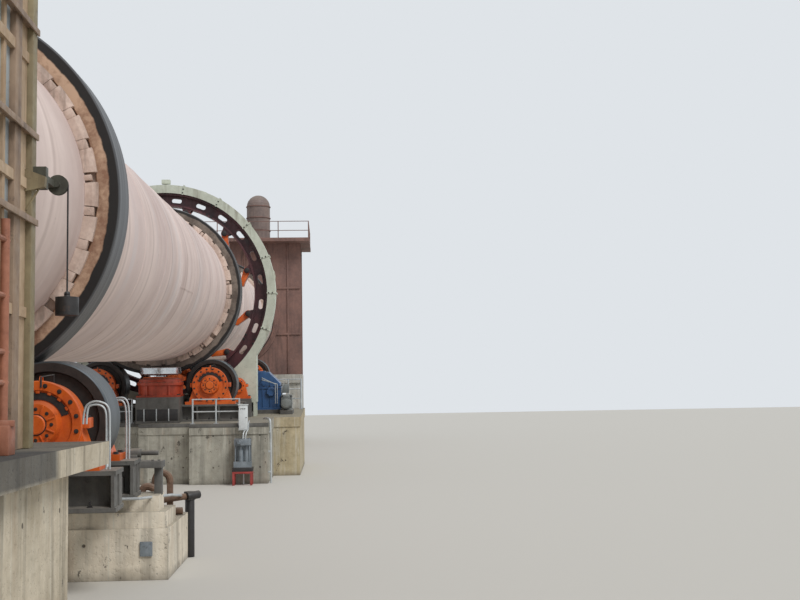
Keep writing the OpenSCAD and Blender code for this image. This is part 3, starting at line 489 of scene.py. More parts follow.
@dataclass(frozen=True)
class Turned(Finish):
    """A turned steel part: a bright rolling face and duller, greasy or rusty sides."""

    colours: str
    radius: float
    offset: tuple[float, float, float] = (0.0, 0.0, 0.0)
    inner: float = 0.0
    grease: Colour = linear("1e1b1a")

    def build(self) -> bpy.types.Material:
        """Builds the turned steel; colours are the rolling face, the sides and their stain.

        Returns:
            The material.
        """
        kit, material, shader, where = self._begin()
        rolling, sides, stain = map(linear, self.colours.split())
        turned = kit.group(SurfaceGroups.round_axis(), Offset=self.offset)
        radius, wrap = turned.outputs["Radius"], turned.outputs["Wrap"]
        face = kit.span(radius, self.radius - 0.012, self.radius - 0.006)
        ragged = kit.math("MULTIPLY_ADD", kit.noise(where, 7.0, 4.0), 0.05, kit.plus(radius, -0.025))
        band = kit.span(ragged, self.radius - self.inner, self.radius - self.inner + 0.008) if self.inner else 0.0
        lines = kit.noise(kit.stretched(wrap, (90.0, 1.0, 1.0)), 1.0, 3.0, 0.6)
        rust = kit.mottle(where, 5.0, 0.42, 0.6)
        side = kit.mix(rust, sides, stain)
        side = kit.mix(band, side, self.grease)
        bright = kit.mix(kit.span(lines, 0.35, 0.65), rolling, tuple(c * 0.62 for c in rolling))
        kit.put(shader, "Base Color", kit.mix(face, side, bright))
        kit.put(shader, "Metallic", kit.span(face, 0.0, 1.0, 0.1, 0.7))
        rough = kit.math("MULTIPLY_ADD", face, -0.14, kit.span(lines, 0.3, 0.7, 0.52, 0.68))
        kit.put(shader, "Roughness", rough)
        self._bump(kit, shader, kit.plus(lines, kit.noise(where, 60.0)), 0.0005)
        return material


@dataclass(frozen=True)
class Concrete(Finish):
    """Board-marked concrete with panel seams, tie holes, runs of rust and a dark foot."""

    colours: str = "b8b4a6 928e82"
    rust: str = "966a42"
    top: str = "807a6c"
    streak: float = 0.5
    wet: float = 0.0

    def build(self) -> bpy.types.Material:
        """Builds the concrete; colours are its own and its shade.

        Returns:
            The material.
        """
        kit, material, shader, where = self._begin()
        plain, shade = map(linear, self.colours.split())
        marks = kit.group(SurfaceGroups.boards()).outputs
        part = kit.split(where)
        up = kit.split(kit.place("Normal"))[2]
        patches = kit.mottle(where, 2.2, 0.36, 0.62)
        runs = kit.drips(7.0, 0.54, 0.70)
        pale_runs = kit.drips(13.0, 0.50, 0.62)
        colour = kit.mix(patches, plain, shade)
        colour = kit.over(colour, marks["Plank"], 0.22, tuple(c * 0.72 for c in shade))
        colour = kit.over(colour, pale_runs, 0.5, linear("d0ccbe"))
        colour = kit.over(colour, runs, 0.45, linear(self.rust))
        streaks = kit.span(kit.noise(kit.stretched(where, (1.0, 1.0, 0.05)), 9.0, 4.0, 0.62), 0.50, 0.66)
        specks = kit.mottle(kit.stretched(where, (1.0, 1.0, 0.6)), 13.0, 0.61, 0.65)
        colour = kit.over(colour, streaks, self.streak, tuple(c * 0.34 for c in shade))
        colour = kit.over(colour, specks, 0.8, linear("342c26"))
        colour = kit.over(colour, marks["Seam"], 0.5, linear("ccc8ba"))
        colour = kit.over(colour, marks["Hole"], 0.85, linear("3a322a"))
        wavy = kit.plus(part[2], kit.times(kit.noise(where, 5.0), 0.12))
        foot = kit.span(wavy, 0.05, 0.13, 0.7, 0.0)
        colour = kit.mix(foot, colour, linear("5c564c"))
        colour = kit.mix(kit.span(up, 0.5, 0.9, 0.0, 0.8), colour, linear(self.top))
        if self.wet:
            ragged = kit.noise(kit.stretched(where, (1.0, 1.0, 0.4)), 3.0, 3.0)
            edge = kit.plus(part[0], kit.times(ragged, 0.5))
            stain = kit.times(kit.span(edge, self.wet + 0.1, self.wet + 0.25, 0.84, 0.0),
                              kit.span(part[2], 0.78, 0.82))
            colour = kit.mix(stain, colour, linear("343434"))
        kit.put(shader, "Base Color", colour)
        kit.put(shader, "Roughness", kit.span(patches, 0.0, 1.0, 0.75, 0.92))
        pits = kit.times(kit.span(kit.noise(where, 48.0, 3.0), 0.32, 0.45, -1.0, 0.0), 0.8)
        height = kit.plus(kit.times(marks["Plank"], 0.5), kit.times(marks["Hole"], -3.0))
        height = kit.plus(kit.plus(height, pits), kit.times(kit.noise(where, 15.0, 4.0), 1.2))
        self._bump(kit, shader, height, 0.003)
        return material


class Palette:
    """Builds each finish once and gives its material by name."""

    finishes: dict[str, Finish] = {
        "shell": ShellPlate("kiln shell plate"),
        "lining": Paint("brick lining", "967660 6e5242 342c26", rough=0.9, grain=0.004, patch=7.0),
        "cast": Paint("cast ring", "5c5652 423a36 342c26", rough=0.7, grain=0.0015),
        "tyre": Turned("tyre steel", "626264 c6a68c 906c56", 1.2, inner=0.068),
        "far_tyre": Turned("far tyre steel", "6e6e70 80746a 584c44", 1.2, inner=0.05),
        "roller_a": Turned("drive side roller steel", "60666a 362e2a 221d1b", 0.36,
                           (0.0, -KILN.roller_y, KILN.roller_z)),
        "roller_b": Turned("far side roller steel", "60666a 362e2a 221d1b", 0.36,
                           (0.0, KILN.roller_y, KILN.roller_z)),
        "pad": Paint("pad plate", "dac4b6 b69e90 3c3028", 0.46, 0.62, 6.0, rough=0.7),
        "gear": Paint("gear paint", "5c3236 3e262a 1a1416", 0.48, 0.66, 4.0, dust=0.1, rough=0.42),
        "spring": Paint("spring plate", "4a3a34 322a28 342c26", rough=0.5),
        "orange": Paint("orange enamel", "dc6822 c0501a 4c2c1c", 0.55, 0.78, 3.5, dust=0.22, rough=0.42),
        "red_orange": Paint("red orange enamel", "be4a2c 963824 3c241c", 0.5, 0.75, 5.0, rough=0.45),
        "frame": Paint("base frame paint", "686662 504e4a 302a26", 0.5, 0.72, 3.0, dust=0.6, rough=0.6),
        "concrete": Concrete("pier concrete"),
        "yellow_concrete": Concrete("drive pier concrete", "c4b696 a09276", streak=0.3),
        "far_concrete": Concrete("far pier concrete", "bebcb4 a09e96", streak=0.3),
        "slab": Concrete("platform concrete", "d6cab4 b2a690", top="3a3936", streak=0.6, wet=-11.62),
        # Painted light: the low pier's concrete is painted lighter than the other piers' concrete for the daylight
        # that falls on it.
        "painted_light_concrete": Concrete("low pier concrete with painted light", "f0e5d2 d0c4b0", top="9e9686", streak=0.5),
        "bright": Paint("ground steel", "e2e6ea bec4ca 787878", 0.66, 0.9, 8.0,
                        dust=0.0, rough=0.24, metal=0.95, grain=0.0001),
        "guard": Paint("pale guard paint", "ccd0c0 b6baaa 786e5c", 0.52, 0.72, 3.0, dust=0.3, rough=0.55),
        "pinion": Paint("greased steel", "5c5856 322e2c 181414", 0.48, 0.62, 9.0, rough=0.3, metal=0.6),
        "blue": Paint("blue enamel", "3a6292 2c4c76 1c222c", 0.52, 0.74, 3.6, dust=0.4, rough=0.4),
        "grey": Paint("grey enamel", "808482 686a68 3a3632", 0.54, 0.76, 5.0, dust=0.4, rough=0.5),
        "panel": Paint("panel paint", "d8dcdc c8cccc 78746c", 0.6, 0.8, 4.0, dust=0.2, rough=0.4),
        "zinc": Paint("zinc pipe", "c4c8c8 a8acae 6e6860", 0.55, 0.8, 9.0, dust=0.1, rough=0.4, metal=0.35),
        "rust": Paint("rusty plate", "86665c 6c544e 423632", 0.48, 0.7, 2.0, rough=0.75),
        "hood": Paint("hood paint", "c4ac90 a0866a 584030", 0.48, 0.7, 2.2, rough=0.65),
        "olive": Paint("olive column paint", "928668 766850 423628", 0.5, 0.72, 3.0, rough=0.6),
        "dark_olive": Paint("dark olive paint", "545448 403e36 26221e", 0.5, 0.7, 5.0, rough=0.5),
        "duct": Paint("duct plate", "86746c 6c5e5a 423834", 0.5, 0.7, 2.6, rough=0.6),
        "old_iron": Paint("old iron", "846854 5c483c 302622", 0.44, 0.6, 8.0, rough=0.8),
        "brown": Paint("brown angle paint", "9e8670 7e6856 4a3a30", 0.5, 0.7, 2.6, rough=0.6),
        "glass_blue": Paint("pale blue sheet", "a4acae 808688 5c4e44", 0.5, 0.7, 2.6, rough=0.55),
        "primer": Paint("primer pipe", "a66e56 865440 50362a", 0.5, 0.75, 6.0, rough=0.6),
        "black": Paint("black iron", "2e2c2c 201e1e 46362c", 0.6, 0.8, 9.0, dust=0.25, rough=0.5),
        "oil": Paint("pump unit paint", "868e94 687076 2c2826", 0.5, 0.7, 8.0, rough=0.45),
        "red": Paint("red stand paint", "aa423c 8a322e 422824", 0.5, 0.72, 8.0, rough=0.5),
    }

    def __init__(self) -> None:
        """Starts with no material built."""
        self._made: dict[str, bpy.types.Material] = {}

    def __getitem__(self, name: str) -> bpy.types.Material:
        """Gives a finish's material, and builds it on first use.

        Args:
            name: the finish's name.

        Returns:
            The material.
        """
        if name not in self._made:
            self._made[name] = self.finishes[name].build()
        return self._made[name]


PALETTE = Palette()


class Shaper:
    """Gathers the shapes of one piece in a bmesh and ends as a dressed object."""

    _stock: dict[float, bpy.types.Mesh] = {}
    crease: float = math.radians(32)

    def __init__(self, name: str, place: Matrix | None = None) -> None:
        """Starts a piece.

        Args:
            name: the object's name.
            place: the frame that its shapes are given in; the kiln's own frame if left out.
        """
        self.name = name
        self.place = self.base = KILN.matrix if place is None else place
        self.bm = bmesh.new()

    def shift(self, x: float, y: float, z: float) -> "Shaper":
        """Moves the frame of the shapes that follow to a point of the piece's own frame."""
        self.place = self.base @ Matrix.Translation((x, y, z))
        return self

    def _take(self, part: bmesh.types.BMesh, turn: Matrix | None = None) -> None:
        """Adds a finished shape and frees it.

        Args:
            part: the shape.
            turn: a move made before that to the piece's own frame.
        """
        bmesh.ops.transform(part, matrix=self.place @ (turn or LEVEL), verts=part.verts)
        bmesh.ops.recalc_face_normals(part, faces=part.faces)
        held = bpy.data.meshes.new("held")
        part.to_mesh(held)
        part.free()
        self.bm.from_mesh(held)
        bpy.data.meshes.remove(held)

    def _bevel(self, part: bmesh.types.BMesh, edges: Sequence[bmesh.types.BMEdge], width: float) -> None:
        """Bevels some edges of a shape, unless the width is 0."""
        if width:
            bmesh.ops.bevel(part, geom=edges, offset=width, offset_type="OFFSET", affect="EDGES", segments=2,
                            profile=0.5, material=-1)

    def box(self, one: Point, other: Point, bevel: float = 0.0, turn: Matrix | None = None) -> None:
        """Adds a block.

        Args:
            one: a corner of it.
            other: the opposite corner.
            bevel: width of its bevelled edges, none if 0.
            turn: a move made before that to the piece's own frame.
        """
        part = bmesh.new()
        bmesh.ops.create_cube(part, size=1.0)
        size = [abs(b - a) for a, b in zip(one, other)]
        bmesh.ops.scale(part, vec=size, verts=part.verts)
        bmesh.ops.translate(part, vec=(Vector(other) + Vector(one)) / 2, verts=part.verts)
        self._bevel(part, part.edges[:], bevel)
        self._take(part, turn)

    def box_circle(self, at: Point, axis: Axis, angles: Sequence[float], one: Point, other: Point,
                   bevel: float = 0.0) -> None:
        """Adds the same block at several angles round an axis.

        Args:
            at: a point on the axis, the origin of the block's corners.
            axis: the direction of the axis, the block's own Z.
            angles: the turn of each block.
            one: a corner of the block.
            other: the opposite corner.
            bevel: width of its bevelled edges, none if 0.
        """
        for angle in angles:
            self.box(one, other, bevel, aligned(at, axis.value) @ Matrix.Rotation(angle, 4, "Z"))

    def cylinder(self, start: Point, end: Point, radius: float, segments: int = 24, bevel: float = 0.0) -> None:
        """Adds a closed cylinder between two points.

        Args:
            start: the middle of one end.
            end: the middle of the other end.
            radius: its radius.
            segments: sides round it.
            bevel: width of the bevel on its rims, none if 0.
        """
        part = bmesh.new()
        way = Vector(end) - Vector(start)
        bmesh.ops.create_cone(part, cap_ends=True, segments=segments, radius1=radius, radius2=radius,
                              depth=way.length)
        self._bevel(part, [e for e in part.edges if abs(e.verts[0].co.z - e.verts[1].co.z) < 1e-7], bevel)
        self._take(part, aligned((Vector(start) + Vector(end)) / 2, way))

    def upright(self, x: float, y: float, low: float, high: float, *shape: float, **rest: float) -> None:
        """Adds a standing cylinder between two heights; shape and rest as for cylinder."""
        self.cylinder((x, y, low), (x, y, high), *shape, **rest)

    def prism(self, foot: Sequence[tuple[float, float]], low: float, high: float, rise: float = 0.0) -> None:
        """Adds an upright block.

        Args:
            foot: corners of its footprint.
            low: height of its foot.
            high: height of its top where x is 0.
            rise: how much its top climbs for each metre of x.
        """
        part = bmesh.new()
        base = part.faces.new([part.verts.new((x, y, low)) for x, y in foot])
        for raised in bmesh.ops.extrude_face_region(part, geom=[base])["geom"]:
            if isinstance(raised, bmesh.types.BMVert):
                raised.co.z = high + rise * raised.co.x
        self._take(part)

    def revolve(self, profile: Sequence[tuple[float, float]], at: Point = (0, 0, 0), axis: Axis = Axis.X,
                steps: int = 48, angle: float = math.tau, start: float = 0.0) -> None:
        """Spins a closed profile about an axis.

        Args:
            profile: corners as (radius, distance along the axis).
            at: a point on the axis.
            axis: the direction of the axis.
            steps: how many steps the turn has.
            angle: how far it turns; less than a full turn leaves closed ends.
            start: the angle at which it starts.
        """
        part = bmesh.new()
        corners = [part.verts.new((radius, 0, along)) for radius, along in profile]
        face = part.faces.new(corners)
        bmesh.ops.rotate(part, cent=(0, 0, 0), matrix=Matrix.Rotation(start, 3, "Z"), verts=part.verts)
        full = angle >= math.tau - 1e-6
        geometry = list(face.edges) + list(face.verts) if full else [face, *face.edges, *face.verts]
        if full:
            part.faces.remove(face)
        bmesh.ops.spin(part, geom=geometry, cent=(0, 0, 0), axis=(0, 0, 1), dvec=(0, 0, 0), angle=angle,
                       steps=steps, use_merge=full, use_duplicate=False)
        bmesh.ops.remove_doubles(part, verts=part.verts, dist=1e-5)
        self._take(part, aligned(at, axis.value))

    def ring(self, radii: tuple[float, float], span: tuple[float, float], *placing: object) -> None:
        """Adds a square ring between two radii; span is its two ends along the axis, placing as for revolve."""
        inner, outer = radii
        self.revolve([(inner, span[0]), (outer, span[0]), (outer, span[1]), (inner, span[1])], *placing)

    def cap(self, radii: tuple[float, float], heights: tuple[float, float, float], *placing: object) -> None:
        """Adds a disc with a chamfer.

        Args:
            radii: of its rim and of its top.
            heights: of its foot, its rim and its top.
            placing: as for revolve, from the point on the axis.
        """
        rim, top = radii
        foot, shoulder, crown = heights
        self.revolve([(0.0, foot), (rim, foot), (rim, shoulder), (top, crown), (0.0, crown)], *placing)

    def tube(self, points: Sequence[Point], radius: float, sides: int = 6, smooth: bool = False) -> None:
        """Adds a pipe.

        Args:
            points: its route.
            radius: its radius.
            sides: how round it is.
            smooth: whether its corners are rounded.
        """
        curve = bpy.data.curves.new("route", "CURVE")
        curve.dimensions = "3D"
        curve.bevel_depth = radius
        curve.bevel_resolution = max(1, sides // 4)
        curve.use_fill_caps = True
        spline = curve.splines.new("NURBS" if smooth else "POLY")
        spline.points.add(len(points) - 1)
        for target, point in zip(spline.points, points):
            target.co = (*point, 1.0)
        if smooth:
            spline.order_u = 3
            spline.use_endpoint_u = True
            curve.resolution_u = 6
        holder = bpy.data.objects.new("route", curve)
        mesh = bpy.data.meshes.new_from_object(holder)
        part = bmesh.new()
        part.from_mesh(mesh)
        bmesh.ops.remove_doubles(part, verts=part.verts, dist=1e-6)
        self._take(part)
        bpy.data.objects.remove(holder)
        bpy.data.curves.remove(curve)
        bpy.data.meshes.remove(mesh)

    def bolt(self, at: Point, size: float, axis: Point = UP) -> None:
        """Adds a hexagon head with its washer.

        Args:
            at: the middle of its seat.
            size: the head's radius.
            axis: the way that it points.
        """
        key = round(size, 4)
        if key not in self._stock:
            part = bmesh.new()
            for sides, foot, top, depth, middle in ((12, 1.35, 1.35, 0.3, 0.05), (6, 1.0, 0.94, 0.8, 0.55)):
                bmesh.ops.create_cone(part, cap_ends=True, segments=sides, radius1=size * foot, radius2=size * top,
                                      depth=size * depth, matrix=Matrix.Translation((0, 0, size * middle)))
            mesh = bpy.data.meshes.new("stock bolt")
            part.to_mesh(mesh)
            part.free()
            self._stock[key] = mesh
        copy = self._stock[key].copy()
        copy.transform(self.place @ aligned(at, axis))
        self.bm.from_mesh(copy)
        bpy.data.meshes.remove(copy)

    def bolts(self, xs: Sequence[float], ys: Sequence[float], zs: Sequence[float], size: float,
              axis: Point = UP) -> None:
        """Adds a bolt at every combination of the places given along x, y and z."""
        for at in product(xs, ys, zs):
            self.bolt(at, size, axis)

    def bolt_circle(self, centre: Point, axis: Axis, radius: float, count: int, size: float,
                    phase: float = 0.0) -> None:
        """Adds bolts on a circle.

        Args:
            centre: the circle's middle.
            axis: the way that the bolts point.
            radius: the circle's radius.
            count: how many bolts it has.
            size: radius of a head.
            phase: the angle of the first bolt.
        """
        frame = aligned(centre, axis.value)
        for index in range(count):
            turn = phase + index * math.tau / count
            at = frame @ Vector((radius * math.cos(turn), radius * math.sin(turn), 0))
            self.bolt(at, size, axis.value)

    def finish(self, material: str, slot: str, body: Body = Body.FOUNDATION) -> bpy.types.Object:
        """Makes the object.

        Args:
            material: the finish's name in the palette.
            slot: the record's material slot; not used.
            body: the body that it rides on.

        Returns:
            The finished object.
        """
        mesh = bpy.data.meshes.new(self.name)
        self.bm.to_mesh(mesh)
        self.bm.free()
        mesh.polygons.foreach_set("use_smooth", [True] * len(mesh.polygons))
        mesh.set_sharp_from_angle(angle=self.crease)
        mesh.materials.append(PALETTE[material])
        made = bpy.data.objects.new(self.name, mesh)
        bpy.context.scene.collection.objects.link(made)
        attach(made, body.value)
        LOG.info("%s: %d faces", self.name, len(mesh.polygons))
        return made


@dataclass
class RotatingShell:
    """The shell with its plate seams, the shims between the tyres' pads and end ring bolts."""

    course: float = 1.15
    bead: float = 0.004
    long_bead: float = 0.0032
    bead_foot: float = 0.004
    seam_turn: float = 2.4
    pads: int = 32
    pad_reach: float = 0.048
    shim_tops: tuple[float, float] = (1.057, 1.045)
    shim_widths: tuple[float, ...] = (0.060, 0.034, 0.060, 0.0, 0.052, 0.060, 0.022, 0.060, 0.060, 0.040)
    ring_bolt_count: int = 36
    ring_reach: float = 0.04

    def seams(self) -> None:
        """Builds the weld beads round and along the shell's plates."""
        piece = Shaper("weld_seams")
        low, high = KILN.shell_radius - self.bead_foot, KILN.shell_radius + self.bead
        count = int((KILN.shell_high - KILN.shell_low) / self.course)
        for index in range(1, count):
            x = KILN.shell_low + index * self.course
            piece.revolve([(low, -0.009), (high, -0.003), (high, 0.003), (low, 0.009)], at=(x, 0, 0), steps=72)
            piece.box((x + 0.01, -0.006, low), (x + self.course - 0.01, 0.006, KILN.shell_radius + self.long_bead),
                      turn=Matrix.Rotation(index * self.seam_turn, 4, "X"))
        piece.finish("shell", "shell_plate", Body.KILN)

    def pad_shims(self) -> None:
        """Builds the shims that close most of the gaps between the pads, on both sides of each tyre."""
        piece = Shaper("pad_shims")
        for x, index, side in product(KILN.stations, range(self.pads), SIDES):
            turn = Matrix.Rotation((index + 0.5) * math.tau / self.pads, 4, "X")
            width = self.shim_widths[(index * 3 + (side > 0) * 4) % len(self.shim_widths)]
            near = x + side * (KILN.tyre_width / 2 + 0.001)
            far = near + side * (self.pad_reach - 0.002)
            top = self.shim_tops[index % 5 == 2]
            if width:
                piece.box((near, -width / 2, KILN.shell_radius), (far, width / 2, top), 0.004, turn)
        piece.finish("pad", "pad_steel", Body.KILN)

    def ring_bolts(self) -> None:
        """Builds the bolts of the cast rings at both ends of the shell."""
        piece = Shaper("end_ring_bolts")
        piece.bolt_circle((KILN.shell_low - self.ring_reach, 0, 0), Axis.MINUS_X, 0.965, self.ring_bolt_count, 0.014)
        piece.bolt_circle((KILN.shell_high + self.ring_reach, 0, 0), Axis.X, 0.98, self.ring_bolt_count, 0.014)
        piece.finish("black", "cast_steel", Body.KILN)

    def build(self) -> None:
        """Builds all pieces of the shell."""
        self.seams()
        self.pad_shims()
        self.ring_bolts()


@dataclass
class BearingHousings:
    """Fittings on the twelve bearing housings of the support rollers."""

    half_width: float = 0.095
    flange: float = 0.249
    cap_face: float = 0.151
    sole: float = 0.27
    sole_half: float = 0.348

    def _face(self, piece: Shaper, dark: Shaper, iron: Shaper, side: int) -> None:
        """Dresses one outer face, in a frame at the housing's middle.

        Args:
            piece: takes the orange shapes.
            dark: takes the opening of the cooling duct, drawn as a black half ring of painted shade.
            iron: takes the bolts.
            side: -1 or 1, the way that its closed end points.
        """
        axis, rim = Axis.facing(side), self.flange
        base, tip = (side * self.half_width, 0, 0), (side * self.cap_face, 0, 0)
        piece.revolve([(0.192, -0.004), (0.196, 0.014), (rim - 0.004, 0.014), (rim, 0.008), (rim, -0.004)],
                      base, axis)
        piece.cap((0.056, 0.050), (-0.002, 0.010, 0.016), tip, axis, 32)
        iron.ring((0.056, 0.062), (-0.001, 0.003), tip, axis, 32)
        piece.box_circle(tip, axis, spread(0.39, math.tau / 8, 8),
                         (0.064, -0.004, -0.012), (0.114, 0.004, 0.008), 0.002)
        start = math.pi * (0.60 if side > 0 else -0.40)
        # Painted shade: a thin black half ring stands in for the dark inside of the cooling duct's opening.
        dark.ring((0.140, 0.182), (-0.001, 0.004), base, axis, 24, math.pi * 0.8, start)
        piece.box_circle(base, axis, spread(start + 0.18, math.pi * 0.115, 7),
                         (0.176, -0.011, -0.001), (0.196, 0.011, 0.010), 0.002)
        iron.bolt_circle((side * (self.cap_face - 0.001), 0, 0), axis, 0.088, 8, 0.008)
        iron.bolt_circle((side * (self.half_width + 0.013), 0, 0), axis, 0.222, 16, 0.010, 0.2)

    def build(self) -> None:
        """Builds the fittings of each station as three pieces."""
        for name, x0 in STATIONS:
            piece, dark, iron = (Shaper(f"housing_{part}_{name}") for part in ("covers", "duct_shade_and_pipes", "bolts"))
            for side, across in product(SIDES, SIDES):
                for each in (piece, dark, iron):
                    each.shift(x0 + side * KILN.housing_x, across * KILN.roller_y, KILN.roller_z)
                self._face(piece, dark, iron, side)
                for way in SIDES:
                    piece.box((-0.06, way * 0.227, -0.030), (0.05, way * 0.283, 0.030), 0.005)
                    piece.box((-0.012, way * 0.11, 0.036 - self.sole), (0.012, way * 0.25, -0.13), 0.003)
                iron.bolts((-0.035, 0.025), (-0.262, 0.262), (0.029,), 0.011)
                bolt_y = self.sole_half - 0.03
                iron.bolts((-0.07, 0.07), (-bolt_y, bolt_y), (0.039 - self.sole,), 0.017)
                piece.ring((0.017, 0.024), (-0.007, 0.007), (-0.02, 0, 0.250), Axis.Y, 20)
                piece.box((-0.05, 0.04, 0.22), (0.03, 0.12, 0.245), 0.004)
                near, far = side * 0.11, side * -0.02
                dark.tube([(near, -0.02, 0.21), (near, -0.02, 0.27), (far, -0.06, 0.28), (far, -0.06, 0.22)], 0.006)
            piece.finish("orange", "orange_paint")
            dark.finish("black", "dark_frame")
            iron.finish("black", "dark_frame")


@dataclass
class ThrustStation:
    """Fittings of the thrust roller below the middle tyre."""

    x: float = -0.4404
    y: float = -0.1
    z: float = -1.19
    flange: float = 0.316

    def beam_window_shade(self) -> None:
        """Builds the openings on the low side of the box beam under the roller as a black sheet of painted shade, and
        the pale posts.
        """
        dark, posts = map(Shaper, ("beam_window_shade", "beam_posts"))
        # Painted shade: a thin black sheet on the beam's face stands in for the dark inside of the openings.
        dark.box((-0.776, -0.378, -1.820), (-0.760, 0.178, -1.664), 0.002)
        dark.finish("black", "dark_frame")
        for y in (-0.256, -0.090, 0.077):
            posts.box((-0.784, y - 0.007, -1.826), (-0.760, y + 0.007, -1.658), 0.001)
        posts.finish("zinc", "panel_paint")

    def build(self) -> None:
        """Builds the flange bolts, the cover and the hold-down nuts."""
        self.beam_window_shade()
        iron, cover, ribs = (Shaper(f"thrust_{part}").shift(self.x, self.y, self.z)
                             for part in ("bolts", "cover", "cover_ring"))
        iron.bolt_circle((0, 0, -0.112), Axis.Z, self.flange - 0.014, 18, 0.009)
        iron.bolts((-0.26, -0.09, 0.09, 0.26), (-0.27, 0.27), (-0.287,), 0.014)
        iron.finish("black", "dark_frame")
        cover.cap((0.074, 0.05), (0.074, 0.084, 0.092), ORIGIN, Axis.Z, 32)
        cover.bolt_circle((0, 0, 0.083), Axis.Z, 0.062, 6, 0.006)
        cover.finish("bright", "bright_steel", Body.THRUST)
        ribs.ring((0.206, 0.236), (-0.046, -0.036), ORIGIN, Axis.Z)
        ribs.bolt_circle((0, 0, -0.036), Axis.Z, 0.221, 12, 0.006)
        ribs.finish("orange", "orange_paint")


@dataclass
class GirthGear:
    """Bolts and pin heads on the girth gear and its spring plates."""

    x: float = 0.9
    pins: int = 12
    pin_radius: float = 1.271
    first: float = math.radians(14)
    first_joint: float = math.radians(29)
    lean: float = -math.pi / 2 - math.asin(1.0089 / 1.271)

    def _at_pin(self, index: int) -> Matrix:
        """The frame of one spring plate: X along the kiln, +Y along the plate from the pin."""
        pin = Matrix.Rotation(self.first + index * math.tau / self.pins, 4, "X")
        return pin @ Matrix.Translation((self.x, 0, self.pin_radius)) @ Matrix.Rotation(self.lean, 4, "X")

    def build(self) -> None:
        """Builds pin heads, fork ribs, plate rivets and joint bolts."""
        names = ("fork_ribs", "spring_pin_heads", "spring_bolts", "gear_joint_bolts")
        forks, heads, bolts, joints = map(Shaper, names)
        for index in range(self.pins):
            for each in (forks, heads, bolts):
                each.place = KILN.matrix @ self._at_pin(index)
            for side in SIDES:
                heads.cylinder((side * 0.112, 0, 0), (side * 0.126, 0, 0), 0.036, bevel=0.003)
                forks.box((side * 0.0745, 0.07, -0.036), (side * 0.0815, 0.245, 0.036), 0.002)
                forks.ring((0.027, 0.050), (0.0, 0.006), (side * 0.075, 0, 0), Axis.facing(side), 24)
            bolts.bolts((-0.045, 0.045), (0.29, 0.35, 0.41), (0.008,), 0.010)
        for index, offset, radius in product(range(4), (-0.035, 0.035), (1.352, 1.515)):
            angle = self.first_joint + index * math.pi / 2 + offset / radius
            at = (self.x - 0.119, -radius * math.sin(angle), radius * math.cos(angle))
            joints.bolt(at, 0.013, Axis.MINUS_X.value)
        forks.finish("orange", "orange_paint", Body.KILN)
        for each in (heads, bolts, joints):
            each.finish("black", "spring_steel", Body.KILN)


@dataclass
class GearGuard:
    """Fittings on the ring guard over the gear."""

    x: float = 0.9
    half: float = 0.17
    radius: float = 1.65
    joints: int = 18
    first: float = math.radians(10)
    to_handle: float = math.radians(10)
    open_from: float = math.radians(118)
    open_to: float = math.radians(158)

    def build(self) -> None:
        """Builds the bolts of the joints, their straps and the handles."""
        bolts, trim = map(Shaper, ("guard_bolts", "guard_trim"))
        for index in range(self.joints):
            angle = self.first + index * math.tau / self.joints
            if self.open_from < angle < self.open_to:
                continue
            for inset, side in product((0.1, 0.045), SIDES):
                at = Vector((self.x + side * (self.half + 0.009), 0, self.radius - inset))
                bolts.bolt(Matrix.Rotation(angle, 3, "X") @ at, 0.008, Axis.facing(side).value)
            if index % 3 == 0:
                turn = Matrix.Rotation(angle + self.to_handle, 4, "X") @ Matrix.Translation((self.x, 0, self.radius))
                trim.box((-0.05, -0.07, -0.002), (0.05, 0.07, 0.008), 0.002, turn)
                handle = ((-0.045, 0), (-0.045, 0.017), (0.045, 0.017), (0.045, 0))
                trim.tube([turn @ Vector((-0.012, y, z)) for y, z in handle], 0.004)
        bolts.finish("black", "dark_frame")
        trim.finish("guard", "pale_guard")


